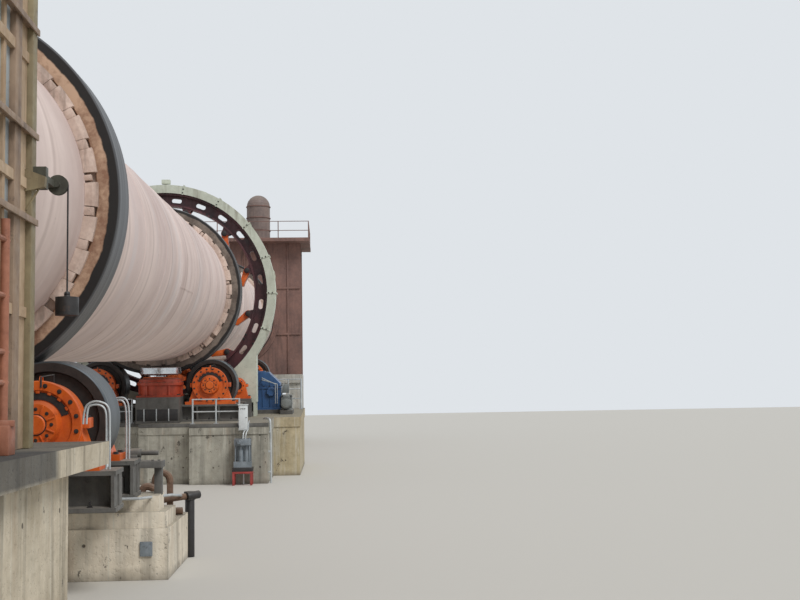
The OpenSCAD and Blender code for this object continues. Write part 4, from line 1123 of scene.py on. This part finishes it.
@dataclass
class Drive:
    """Fittings of the gearbox, motors and bearings of the drive, in a frame at the gearbox's lower corner."""

    x0: float = 1.575
    length: float = 0.56
    y0: float = -1.6910
    width: float = 0.70
    foot: float = -1.7963
    height: float = 0.59
    split: float = 0.33
    output: tuple[float, float] = (0.605, 0.4063)
    bearings: tuple[float, float] = (-0.975, -0.375)
    barring_radius: float = 0.08
    barring_y: float = -0.0844
    no_ribs: tuple[float, float] = (0.501, 0.711)

    def _start(self, name: str, at: Point = ORIGIN) -> Shaper:
        """Starts a piece at a point of the drive's frame."""
        return Shaper(name).shift(self.x0 + at[0], self.y0 + at[1], self.foot + at[2])

    def gearbox(self) -> None:
        """Builds flange bolts, covers, cooling ribs and pipes of the gearbox."""
        iron, blue, pipes = map(self._start, ("gearbox_bolts", "gearbox_covers", "gearbox_pipes"))
        long, wide, top, roof = self.length, self.width, self.split + 0.030, self.height
        iron.bolts((-0.007, long + 0.007), spread(0.03, (wide - 0.06) / 8, 9), (top,), 0.010)
        for z, size in ((top, 0.010), (0.034, 0.013)):
            iron.bolts(spread(0.04, (long - 0.08) / 5, 6), (0.012, wide - 0.012), (z,), size)
        for y in spread(0.06, 0.115, 6):
            if not self.no_ribs[0] < y < self.no_ribs[1]:
                blue.box((-0.012, y - 0.007, 0.034), (0.003, y + 0.007, top - 0.03), 0.002)
            blue.box((-0.010, y - 0.007, top), (0.003, y + 0.007, 0.43), 0.002)
        for (y, z), rim in ((self.output, 0.092), ((0.16, 0.28), 0.072)):
            blue.revolve([(rim * 0.55, 0.028), (rim, 0.028), (rim, 0.034), (rim * 0.9, 0.040), (rim * 0.55, 0.040)],
                         (0, y, z), Axis.MINUS_X, 32)
            iron.bolt_circle((-0.034, y, z), Axis.MINUS_X, rim * 0.82, 8, 0.007)
        blue.box((0.14, 0.26, roof - 0.002), (0.42, 0.54, roof + 0.016), 0.004)
        iron.bolts((0.16, 0.28, 0.40), (0.28, 0.52), (roof + 0.015,), 0.007)
        blue.upright(0.28, 0.40, roof + 0.012, roof + 0.07, 0.016, bevel=0.003)
        blue.upright(0.28, 0.40, roof + 0.055, roof + 0.085, 0.028, bevel=0.006)
        for x in (0.05, long - 0.05):
            blue.ring((0.016, 0.026), (-0.007, 0.007), (x, 0.42, roof + 0.018), Axis.Y, 20)
        for y in (0.06, 0.09):
            high = y + 0.41
            pipes.tube([(-0.02, y, 0.10), (-0.06, y, 0.10), (-0.06, y, 0.40), (-0.06, 0.30, high),
                        (0.004, 0.30, high)], 0.007)
        iron.finish("black", "dark_frame")
        blue.finish("blue", "blue_paint")
        pipes.finish("zinc", "panel_paint")

    def small_motor(self) -> None:
        """Builds the fan cover, terminal box and case bolts of the barring motor."""
        radius, y = self.barring_radius, self.barring_y
        cover = self._start("barring_motor_cover", (-0.37, y, radius + 0.024))
        rim = radius * 0.94
        cover.revolve([(0.0, 0.0), (rim, 0.0), (rim, 0.006), (radius * 0.70, 0.022), (0.0, 0.024)],
                      ORIGIN, Axis.MINUS_X, 32)
        for share in (0.25, 0.42, 0.58, 0.72, 0.86):
            middle = radius * share
            cover.ring((middle - 0.003, middle + 0.003), (0.016, 0.029 - 0.014 * share), ORIGIN, Axis.MINUS_X, 32)
        cover.box((0.12, -0.045, radius - 0.01), (0.23, 0.045, radius + 0.045), 0.005)
        cable = ((0.14, 0.04, 0.02), (0.10, 0.07, 0.06), (0.05, 0.07, 0.16), (0.30, 0.02, 0.26))
        cover.tube([(x, y, radius + z) for x, y, z in cable], 0.008, smooth=True)
        cover.finish("grey", "grey_paint")
        bolts = self._start("barring_case_bolts")
        bolts.bolts((-0.041,), (y - 0.07, y + 0.07), (0.025, 0.205), 0.009, Axis.MINUS_X.value)
        bolts.finish("black", "dark_frame")

    def main_motor(self) -> None:
        """Builds the ribs, the terminal box and the fan cover of the main motor."""
        piece = self._start("main_motor_parts", (self.length + 0.19, 0.16, 0.28))
        piece.box((0.16, -0.25, -0.05), (0.32, -0.13, 0.10), 0.008)
        piece.revolve([(0.0, 0.0), (0.138, 0.0), (0.138, 0.008), (0.10, 0.026), (0.0, 0.028)],
                      (0.64, 0, 0), Axis.X, 32)
        piece.ring((0.016, 0.028), (-0.008, 0.008), (0.25, 0, 0.158), Axis.Y, 20)
        piece.box_circle((0.03, 0, 0), Axis.X, spread(0, math.tau / 36, 36),
                         (0.118, -0.002, 0.0), (0.147, 0.002, 0.42))
        piece.finish("grey", "grey_paint")

    def coupling(self) -> None:
        """Builds the coupling bolts that turn with the pinion, and its bearings' caps and bolts."""
        turning, held, caps = (self._start(name, (0, *self.output))
                               for name in ("coupling_bolts", "pinion_bearing_bolts", "pinion_bearing_caps"))
        turning.bolt_circle((-0.25, 0, 0), Axis.MINUS_X, 0.115, 8, 0.012)
        turning.revolve([(0.15, -0.06), (0.156, -0.055), (0.156, -0.02), (0.15, -0.015)], (-0.11, 0, 0))
        for x, side in product(self.bearings, SIDES):
            axis = Axis.facing(side)
            caps.revolve([(0.072, 0.0), (0.108, 0.0), (0.108, 0.008), (0.10, 0.014), (0.072, 0.014)],
                         (x + side * 0.074, 0, 0), axis, 32)
            caps.box((x - 0.05, side * 0.113, -0.02), (x + 0.05, side * 0.157, 0.02), 0.004)
            held.bolt_circle((x + side * 0.087, 0, 0), axis, 0.094, 8, 0.007)
            held.bolts((x - 0.045, x + 0.045), (side * 0.172,), (-0.155,), 0.013)
            held.bolts((x - 0.028, x + 0.028), (side * 0.138,), (0.02,), 0.009)
        turning.finish("pinion", "pinion_steel", Body.PINION)
        held.finish("black", "dark_frame")
        caps.finish("orange", "orange_paint")

    def build(self) -> None:
        """Builds all fittings of the drive."""
        self.gearbox()
        self.small_motor()
        self.main_motor()
        self.coupling()


@dataclass
class Stations:
    """Anchor bolts, the low pier's block, its plate and pipes, and the middle pier's edge steel and pipe."""

    girder_half: float = 1.2232
    flange_top: float = 0.0265
    pier_edge: float = 0.8368

    def anchors(self) -> None:
        """Builds anchor nuts and their bolts' ends along the girders."""
        for name, x0 in STATIONS:
            iron = Shaper(f"anchor_bolts_{name}").shift(x0, 0, KILN.pier_z)
            for side, dx, row in product(SIDES, (-0.09, 0.09), spread(-3.5, 1, 8)):
                x, y = side * KILN.housing_x + dx, row * self.girder_half / 4
                iron.bolt((x, y, self.flange_top), 0.014)
                iron.upright(x, y, 0.026, 0.062, 0.006, 10)
            iron.finish("black", "dark_frame")

    def pier_edges(self) -> None:
        """Builds the steel angles that guard the top edges of the middle and drive piers."""
        piece = Shaper("pier_edge_steel", LEVEL)
        for x, y0, y1 in ((-1.114, -1.634, -0.58), (-0.914, -0.58, 0.12), (-0.634, 0.12, 1.634)):
            z = self.pier_edge + x * math.sin(KILN.slope)
            piece.box((x - 0.004, y0, z - 0.045), (x + 0.002, y1, z + 0.002), 0.001)
            piece.box((x - 0.004, y0, z - 0.001), (x + 0.045, y1, z + 0.005), 0.001)
        piece.finish("frame", "dark_frame")

    def low_pier(self) -> None:
        """Builds the low pier as a neck under the platform and a wide stepped block behind it."""
        piece = Shaper("low_pier_block", LEVEL)
        rise = math.tan(KILN.slope)
        top = KILN.axis_height + KILN.pier_z / math.cos(KILN.slope)
        for x0, x1, half, low, high, slope in (
                (-10.207, -9.06, 0.74, 0.0, top, rise), (-9.09, -8.857, 1.35, 0.40, top, rise),
                (-9.135, -8.657, 1.40, 0.30, 0.42, 0.0), (-9.16, -8.117, 1.42, 0.0, 0.32, 0.0)):
            piece.prism([(x0, -half), (x1, -half), (x1, half), (x0, half)], low, high, slope)
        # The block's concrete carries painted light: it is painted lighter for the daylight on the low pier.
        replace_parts(piece.finish("painted_light_concrete", "concrete"), "pier_low")
        plate = Shaper("pier_plate", LEVEL)
        plate.box((-9.172, -1.322, 0.148), (-9.158, -1.244, 0.239), 0.002)
        plate.bolts((-9.172,), (-1.312, -1.254), (0.158, 0.229), 0.004, Axis.MINUS_X.value)
        plate.finish("oil", "panel_paint")

    def cooling_pipes(self) -> None:
        """Builds the pale water pipes that bend out of the low housing, and the line along its frame."""
        piece = Shaper("cooling_pipes", LEVEL)
        for gap in (0.0, 0.018):
            out, over = -1.226 - gap, 1.105 + gap
            routes = [(-10.17, ((-1.118 + gap, 1.0), (-1.120 + gap, 1.09), (-1.145, over), (-1.19, over),
                                (out + 0.004, 1.08 + gap), (out, 1.0), (out, 0.753)))]
            for start, bend, rest, top in ((-0.90, -0.975, -1.0366, 1.13), (-1.00, -1.10, -1.147, 1.135)):
                out = rest - gap
                routes.append((-9.10, ((start, top - 0.02), (bend, top + gap), (out + 0.01, top - 0.02 + gap),
                                       (out, top - 0.10), (out, top - 0.25), (out, 0.752))))
            for x, route in routes:
                piece.tube([(x, y, z) for y, z in route], 0.006, 8, True)
        line = -9.318
        piece.tube([(line, -0.78, 0.521), (line, -1.26, 0.521), (-8.70, -1.38, 0.49), (-8.13, -1.455, 0.43)],
                   0.009, 8)
        piece.tube([(line, -1.068, 0.521), (line, -1.068, 0.70), (line + 0.02, -1.068, 0.745)], 0.007, 8)
        piece.finish("zinc", "panel_paint")

    def corner_pipe(self) -> None:
        """Builds the pale pipe down the middle pier's corner, with its clips."""
        pipe = Shaper("corner_pipe", LEVEL).shift(-1.02, -1.655, 0)
        pipe.tube([(0.16, 0.10, 0.86), (0.03, 0.02, 0.87), (0, 0, 0.80), (0, 0, 0.0)], 0.014, 12, True)
        for z in (0.15, 0.42, 0.68):
            pipe.box((-0.024, -0.004, z - 0.012), (0.024, 0.040, z + 0.012), 0.002)
        pipe.finish("zinc", "panel_paint")

    def build(self) -> None:
        """Builds all pieces of the stations."""
        self.anchors()
        self.low_pier()
        self.pier_edges()
        self.cooling_pipes()
        self.corner_pipe()


@dataclass
class DischargeEnd:
    """Fittings of the casing over the low end, its bracket and rail, and the gear on the low pier's step."""

    x0: float = -12.92
    x1: float = -11.32
    half: float = 1.075
    floor: float = 0.92
    height: float = 2.85
    angle_heights: tuple[float, ...] = (1.936, 2.329, 2.817)
    angle_legs: tuple[tuple[float, ...], ...] = ((0.018, 0.056, 0.006, 0.006), (0.050, 0.059, 0.020, 0.008))
    handle: tuple[tuple[float, float], ...] = ((-0.035, 0.55), (-0.075, 0.55), (-0.075, 0.75), (-0.035, 0.75))
    strips: tuple[tuple[str, str, float, float, float], ...] = (
        ("olive", "column", -11.39, -11.314, 0.048), ("hood", "web", -11.52, -11.39, 0.022),
        ("brown", "bar", -11.62, -11.52, 0.034), ("glass_blue", "sheet", -11.80, -11.62, 0.008))

    def sides(self) -> None:
        """Builds the strips and the angle bars on both sides of the casing."""
        for side, where in zip(SIDES, ("drive", "far")):
            for finish, name, x0, x1, out in self.strips:
                strip = Shaper(f"hood_{name}_{where}", LEVEL)
                strip.box((x0, side * self.half, self.floor + 0.002),
                          (x1, side * (self.half + out), self.floor + self.height), 0.002)
                strip.finish(finish, "hood_paint")
            angle = Shaper(f"hood_angles_{where}", LEVEL)
            for z, (inner, outer, down, up) in product(self.angle_heights, self.angle_legs):
                angle.box((-12.9, side * (self.half + inner), z - down),
                          (-11.31, side * (self.half + outer), z + up), 0.001)
            angle.finish("brown", "hood_paint")

    def casing(self) -> None:
        """Builds flat bars, doors with their handles, and the seal ring of the casing."""
        piece, iron = (Shaper(f"hood_{part}", LEVEL).shift(self.x0, 0, self.floor) for part in ("trim", "bolts"))
        for side in SIDES:
            near, bar, door = (side * (self.half + out) for out in (-0.001, 0.023, 0.031))
            for x in (0.42, 1.18):
                piece.box((x - 0.018, near, 0.01), (x + 0.018, bar, self.height - 0.02), 0.003)
            piece.box((0.5, near, 0.05), (1.05, door, 0.53), 0.006)
            iron.bolts((0.53, 1.02), (door,), (0.1, 0.29, 0.48), 0.011, (0, side, 0))
        for y in (-0.7, 0.7):
            piece.box((-0.035, y - 0.26, 0.2), (0.002, y + 0.26, 1.1), 0.006)
            iron.tube([(x, y - 0.18, z) for x, z in self.handle], 0.008)
        piece.finish("hood", "hood_paint")
        iron.finish("black", "dark_frame")
        seal = Shaper("seal_ring")
        seal.ring((1.022, 1.060), (0.0, 0.014), (self.x1 + 0.049, 0, 0), Axis.X, 72)
        seal.bolt_circle((self.x1 + 0.063, 0, 0), Axis.X, 1.043, 40, 0.008)
        seal.finish("black", "hood_paint")

    def bracket(self) -> None:
        """Builds the tapered bracket and the strut of the arm that carries the pulley."""
        across = Matrix(((0, 0, 1, 0), (1, 0, 0, 0), (0, 1, 0, 0), (0, 0, 0, 1)))
        piece = Shaper("arm_bracket", across)
        piece.prism([(-1.085, 2.166), (-1.188, 2.126), (-1.184, 2.080), (-1.085, 2.058)], -11.412, -11.378)
        piece.place = LEVEL
        piece.tube([(-11.39, -1.10, 1.98), (-11.39, -1.155, 2.075)], 0.005)
        piece.finish("olive", "hood_paint")

    def rails(self) -> None:
        """Builds the primed pipe at the drive side of the platform, on its foot, with its cross pipes."""
        piece = Shaper("platform_rail", LEVEL).shift(-12.0, -1.18, 0)
        for x in (0.0, -0.45, -0.9):
            piece.box((x - 0.05, -0.035, self.floor), (x + 0.05, 0.035, 1.035), 0.004)
            piece.upright(x, 0, 1.03, 1.055, 0.045, 16, 0.003)
            piece.upright(x, 0, 1.04, 1.842, 0.018, 16)
        for z in (1.20, 1.32, 1.54, 1.76):
            piece.tube([(-0.95, 0, z), (0.04, 0, z)], 0.011, 8)
        piece.finish("primer", "hood_paint")

    def step_gear(self) -> None:
        """Builds the shelf with its shafts, the old pipe bends and the post that stand on the low pier."""
        iron, bends, post = (Shaper(name, LEVEL) for name in ("step_shelf", "old_pipe_bends", "step_post"))
        iron.box((-9.04, -1.36, 0.690), (-8.87, -0.95, 0.735), 0.003)
        iron.box((-9.03, -1.20, 0.733), (-8.90, -1.08, 0.775), 0.004)
        for y in (-1.33, -1.00):
            iron.box((-8.98, y - 0.025, 0.515), (-8.93, y + 0.025, 0.692), 0.002)
        for y0, y1, z, radius, bevel in ((-1.10, -1.22, 0.785, 0.030, 0.004), (-1.21, -1.33, 0.785, 0.016, 0.002),
                                         (-0.99, -1.09, 0.762, 0.020, 0.003)):
            iron.cylinder((-8.97, y0, z), (-8.97, y1, z), radius, bevel=bevel)
        iron.bolts((-9.01,), (-1.34, -1.30, -1.02, -0.98), (0.734,), 0.009)
        iron.finish("frame", "dark_frame")
        for x, radius, route in (
                (-8.50, 0.026, ((-1.14, 0.335), (-1.14, 0.50), (-1.18, 0.545), (-1.27, 0.50), (-1.27, 0.45))),
                (-8.42, 0.024, ((-1.22, 0.48), (-1.22, 0.59), (-1.27, 0.63), (-1.33, 0.60), (-1.33, 0.55)))):
            bends.tube([(x, y, z) for y, z in route], radius, 12, True)
        bends.cylinder((-8.40, -1.10, 0.345), (-8.30, -1.40, 0.345), 0.026, 16, 0.002)
        bends.cylinder((-8.46, -1.16, 0.42), (-8.44, -1.47, 0.46), 0.022, 16, 0.002)
        for x, y in ((-8.50, -1.27), (-8.42, -1.22), (-8.42, -1.33)):
            bends.box((x - 0.02, y - 0.02, 0.318), (x + 0.02, y + 0.02, 0.55), 0.002)
        bends.finish("old_iron", "dark_frame")
        post.upright(-8.12, -1.43, 0.0, 0.435, 0.034, 20, 0.003)
        post.upright(-8.12, -1.43, 0.405, 0.465, 0.042, 20, 0.004)
        post.cylinder((-8.46, -1.45, 0.458), (-8.40, -1.53, 0.466), 0.028, 16, 0.004)
        post.finish("black", "dark_frame")

    def build(self) -> None:
        """Builds all pieces of the low end."""
        self.sides()
        self.casing()
        self.bracket()
        self.rails()
        self.step_gear()


@dataclass
class PumpUnit:
    """Parts of the pump unit that pushes the thrust roller, and of the control box beside it."""

    x0: float = -1.368
    y0: float = -1.4265
    length: float = 0.22
    width: float = 0.255

    def unit(self) -> None:
        """Builds the stand, base, head block, rods, gauge and pipes of the unit."""
        stand, base, head, pipes = (Shaper(f"pump_{part}", LEVEL).shift(self.x0, self.y0, 0)
                                    for part in ("stand", "base", "head", "pipes"))
        long, wide = self.length, self.width
        for x, y in product((-0.002, long - 0.026), (-0.002, wide - 0.026)):
            stand.box((x, y, 0.0), (x + 0.028, y + 0.028, 0.162), 0.001)
        stand.box((-0.003, -0.003, 0.152), (long + 0.003, wide + 0.003, 0.1825), 0.002)
        stand.finish("red", "oil_paint")
        base.box((-0.004, -0.004, 0.176), (long + 0.004, wide + 0.004, 0.232), 0.004)
        for y in (0.045, 0.1275, 0.21):
            base.upright(0.03, y, 0.232, 0.268, 0.016, 16, 0.002)
        base.finish("black", "dark_frame")
        head.box((0.012, 0.02, 0.518), (0.15, wide - 0.02, 0.60), 0.006)
        for y in (0.035, 0.22):
            head.upright(0.03, y, 0.23, 0.615, 0.008, 12)
        head.cap((0.026, 0.020), (0.0, 0.012, 0.016), (0.012, 0.17, 0.56), Axis.MINUS_X, 24)
        head.finish("oil", "oil_paint")
        for y in (0.06, 0.095):
            pipes.tube([(0.10, y + 0.03, 0.595), (0.10, y + 0.03, 0.67), (0.18, y, 0.72),
                        (0.245, y, 0.74), (0.245, y, 0.828), (0.42, y, 0.832)], 0.008, 8, True)
        pipes.finish("zinc", "panel_paint")

    def panel(self) -> None:
        """Builds the door, hinges, lock and lamps of the control box."""
        wide, high = 0.118, 0.335
        door, trim = (Shaper(f"panel_{part}", LEVEL).shift(-1.1944, -1.358, 0.713) for part in ("door", "trim"))
        door.box((-0.006, 0.006, 0.008), (0.002, wide - 0.006, high - 0.008), 0.002)
        door.finish("panel", "panel_paint")
        for z in (0.05, high - 0.05):
            trim.upright(-0.004, wide + 0.001, z - 0.014, z + 0.014, 0.005, 12)
        trim.cylinder((-0.012, 0.018, high / 2), (-0.004, 0.018, high / 2), 0.007, 16, 0.001)
        for y in (0.035, 0.059, 0.083):
            trim.cap((0.007, 0.004), (0.0, 0.004, 0.008), (-0.006, y, high - 0.05), Axis.MINUS_X, 16)
        trim.finish("black", "dark_frame")

    def build(self) -> None:
        """Builds the unit and the box's fittings."""
        self.unit()
        self.panel()


@dataclass
class FeedEnd:
    """Fittings of the chamber at the high end."""

    x0: float = 13.35
    x1: float = 14.85
    half: float = 1.68
    floor: float = 1.75
    top: float = 5.20
    clear_half: float = 1.25
    over_shell: float = 4.40

    def build(self) -> None:
        """Builds flat bars, rivets, doors, toe plates, the duct's rings and the seal."""
        piece, iron = (Shaper(f"chamber_{part}", LEVEL) for part in ("trim", "bolts"))
        for y, (x, side) in product(spread(0.28 - self.half, 0.56, 6), ((self.x0, -1), (self.x1, 1))):
            foot = self.floor + 0.02 if abs(y) > self.clear_half or side > 0 else self.over_shell
            piece.box((x - side * 0.002, y - 0.02, foot), (x + side * 0.028, y + 0.02, self.top - 0.02), 0.003)
        start, end, edge, low = self.x0 - 0.42, self.x1 + 0.42, self.half + 0.30, self.top + 0.038
        for side in SIDES:
            iron.bolts(spread(self.x0 + 0.1, 0.21, 7), (side * (self.half + 0.0005),), spread(2.2, 0.5, 6), 0.010,
                       (0, side, 0))
            piece.box((self.x0 + 0.62, side * (self.half - 0.002), 2.0),
                      (self.x0 + 0.92, side * (self.half + 0.03), 2.7), 0.006)
            piece.box((start, side * (edge - 0.008), low), (end, side * edge, low + 0.051), 0.001)
        piece.box((start, -edge, low), (start + 0.008, edge, low + 0.051), 0.001)
        duct = (self.x0 + 0.75, -0.6)
        for height in (0.05, 0.38, 0.72, 1.03):
            piece.ring((0.306, 0.328), (0.0, 0.022), (*duct, self.top + 0.04 + height), Axis.Z)
        iron.bolt_circle((*duct, self.top + 0.0633), Axis.Z, 0.338, 20, 0.008)
        piece.finish("rust", "rust_plate")
        iron.finish("black", "dark_frame")
        seal = Shaper("feed_seal")
        seal.ring((1.024, 1.10), (0.0, 0.02), (self.x0 - 0.059, 0, 0), Axis.MINUS_X, 72)
        seal.bolt_circle((self.x0 - 0.079, 0, 0), Axis.MINUS_X, 1.075, 40, 0.009)
        seal.finish("rust", "rust_plate")


class NodeFinishes:
    """Gives every node of the CAD model its finish."""

    finish_of: dict[str, str] = {
        "shell": "shell", "lining": "lining", "nose_ring": "cast", "girth_gear": "gear", "spring_plates": "spring",
        "clevis_forks": "orange", "clevis_pins": "black", "thrust_roller": "bright", "thrust_housing": "red_orange",
        "gear_guard": "guard", "pinion_cover": "guard", "guard_legs": "guard", "pinion": "pinion",
        "pinion_bearings": "orange", "reducer": "blue", "main_motor": "grey", "barring_motor": "grey",
        "handrails": "zinc", "control_box": "panel", "hydraulic_unit": "oil", "discharge_hood": "hood",
        "hood_platform": "slab", "weight_arm": "dark_olive", "seal_weight": "black", "feed_duct": "duct",
        "pier_feed": "far_concrete", "pier_high": "far_concrete", "pier_drive": "yellow_concrete",
        "tyre_mid": "far_tyre", "tyre_high": "far_tyre"}
    by_start: dict[str, str] = {"tyre_": "tyre", "pads_": "pad", "housings_": "orange", "pier_": "concrete",
                                "feed_": "rust", "inlet_": "rust"}

    def name_for(self, node: str) -> str:
        """Finds a node's finish.

        Args:
            node: the node's name.

        Returns:
            The finish's name in the palette.
        """
        if node in self.finish_of:
            return self.finish_of[node]
        if node.startswith("roller_"):
            return "roller_" + node.split("_")[2]
        return next((value for key, value in self.by_start.items() if node.startswith(key)), "frame")

    def dress(self, nodes: dict[str, bpy.types.Object]) -> None:
        """Assigns the finishes.

        Args:
            nodes: the CAD nodes' objects by name.
        """
        for node, holder in nodes.items():
            material = PALETTE[self.name_for(node)]
            for slot in holder.material_slots:
                slot.material = material
            LOG.info("node %s: %s", node, material.name)


@dataclass
class Studio:
    """Pale floor, soft light and the camera at the photograph's place."""

    place: tuple[float, float, float] = (-16.522, -2.439, 1.12)
    yaw: float = 0.0636
    pitch: float = 0.0848
    roll: float = -0.0164
    focal: float = 1140.0
    sensor: float = 36.0
    picture_width: float = 800.0
    sun: float = 1.9
    sun_angle: float = math.radians(24)
    sun_way: tuple[float, float, float] = (0.60, 0.52, -0.85)
    sky: float = 0.62
    seen_sky: float = 0.86
    floor_size: float = 60.0
    floor_gap: float = 0.001

    def floor(self) -> None:
        """Lays the pale floor."""
        part = bmesh.new()
        bmesh.ops.create_grid(part, x_segments=1, y_segments=1, size=self.floor_size)
        mesh = bpy.data.meshes.new("floor")
        part.to_mesh(mesh)
        part.free()
        material = bpy.data.materials.new("floor")
        material.use_nodes = True
        shader = material.node_tree.nodes["Principled BSDF"]
        shader.inputs["Base Color"].default_value = (*linear("c4c0b8"), 1.0)
        shader.inputs["Roughness"].default_value = 0.8
        mesh.materials.append(material)
        made = bpy.data.objects.new("floor", mesh)
        made.location.z = -self.floor_gap
        bpy.context.scene.collection.objects.link(made)

    def light(self) -> None:
        """Sets the world and a broad soft lamp above the drive side."""
        world = bpy.data.worlds.new("studio")
        world.use_nodes = True
        bpy.context.scene.world = world
        kit = NodeKit(world.node_tree)
        world.node_tree.nodes.clear()
        path = kit.node("ShaderNodeLightPath").outputs
        seen = kit.math("MAXIMUM", path["Is Camera Ray"], path["Is Glossy Ray"])
        strength = kit.span(seen, 0.0, 1.0, self.sky, self.seen_sky)
        glow = kit.node("ShaderNodeBackground", {"Color": (0.86, 0.90, 0.94, 1.0), "Strength": strength})
        end = kit.node("ShaderNodeOutputWorld")
        world.node_tree.links.new(glow.outputs[0], end.inputs[0])
        lamp = bpy.data.lights.new("skylight", "SUN")
        lamp.energy = self.sun
        lamp.angle = self.sun_angle
        holder = bpy.data.objects.new("skylight", lamp)
        holder.rotation_euler = Vector(self.sun_way).to_track_quat("-Z", "Y").to_euler()
        bpy.context.scene.collection.objects.link(holder)

    def camera(self) -> None:
        """Sets the camera with its yaw, pitch and roll."""
        forward = Vector((math.cos(self.yaw) * math.cos(self.pitch), -math.sin(self.yaw) * math.cos(self.pitch),
                          math.sin(self.pitch)))
        level = Vector((-math.sin(self.yaw), -math.cos(self.yaw), 0))
        above = level.cross(forward)
        right = math.cos(self.roll) * level + math.sin(self.roll) * above
        up = right.cross(forward)
        lens = bpy.data.cameras.new("camera")
        lens.lens = self.focal * self.sensor / self.picture_width
        lens.clip_end = 200.0
        holder = bpy.data.objects.new("camera", lens)
        holder.matrix_world = Matrix.Translation(self.place) @ Matrix((right, up, -forward)).transposed().to_4x4()
        bpy.context.scene.collection.objects.link(holder)
        bpy.context.scene.camera = holder

    def build(self) -> None:
        """Sets floor, light and camera."""
        self.camera()
        self.floor()
        self.light()
        bpy.context.scene.view_settings.view_transform = "Standard"


def main() -> None:
    """Loads the model, dresses it and sets the studio."""
    logging.basicConfig(level=logging.INFO, format="%(name)s: %(message)s")
    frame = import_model()
    Studio().build()
    NodeFinishes().dress(frame["nodes"])
    RotatingShell().build()
    BearingHousings().build()
    ThrustStation().build()
    GirthGear().build()
    GearGuard().build()
    Drive().build()
    Stations().build()
    DischargeEnd().build()
    PumpUnit().build()
    FeedEnd().build()
    bpy.context.view_layer.update()


if __name__ == "__main__":
    main()
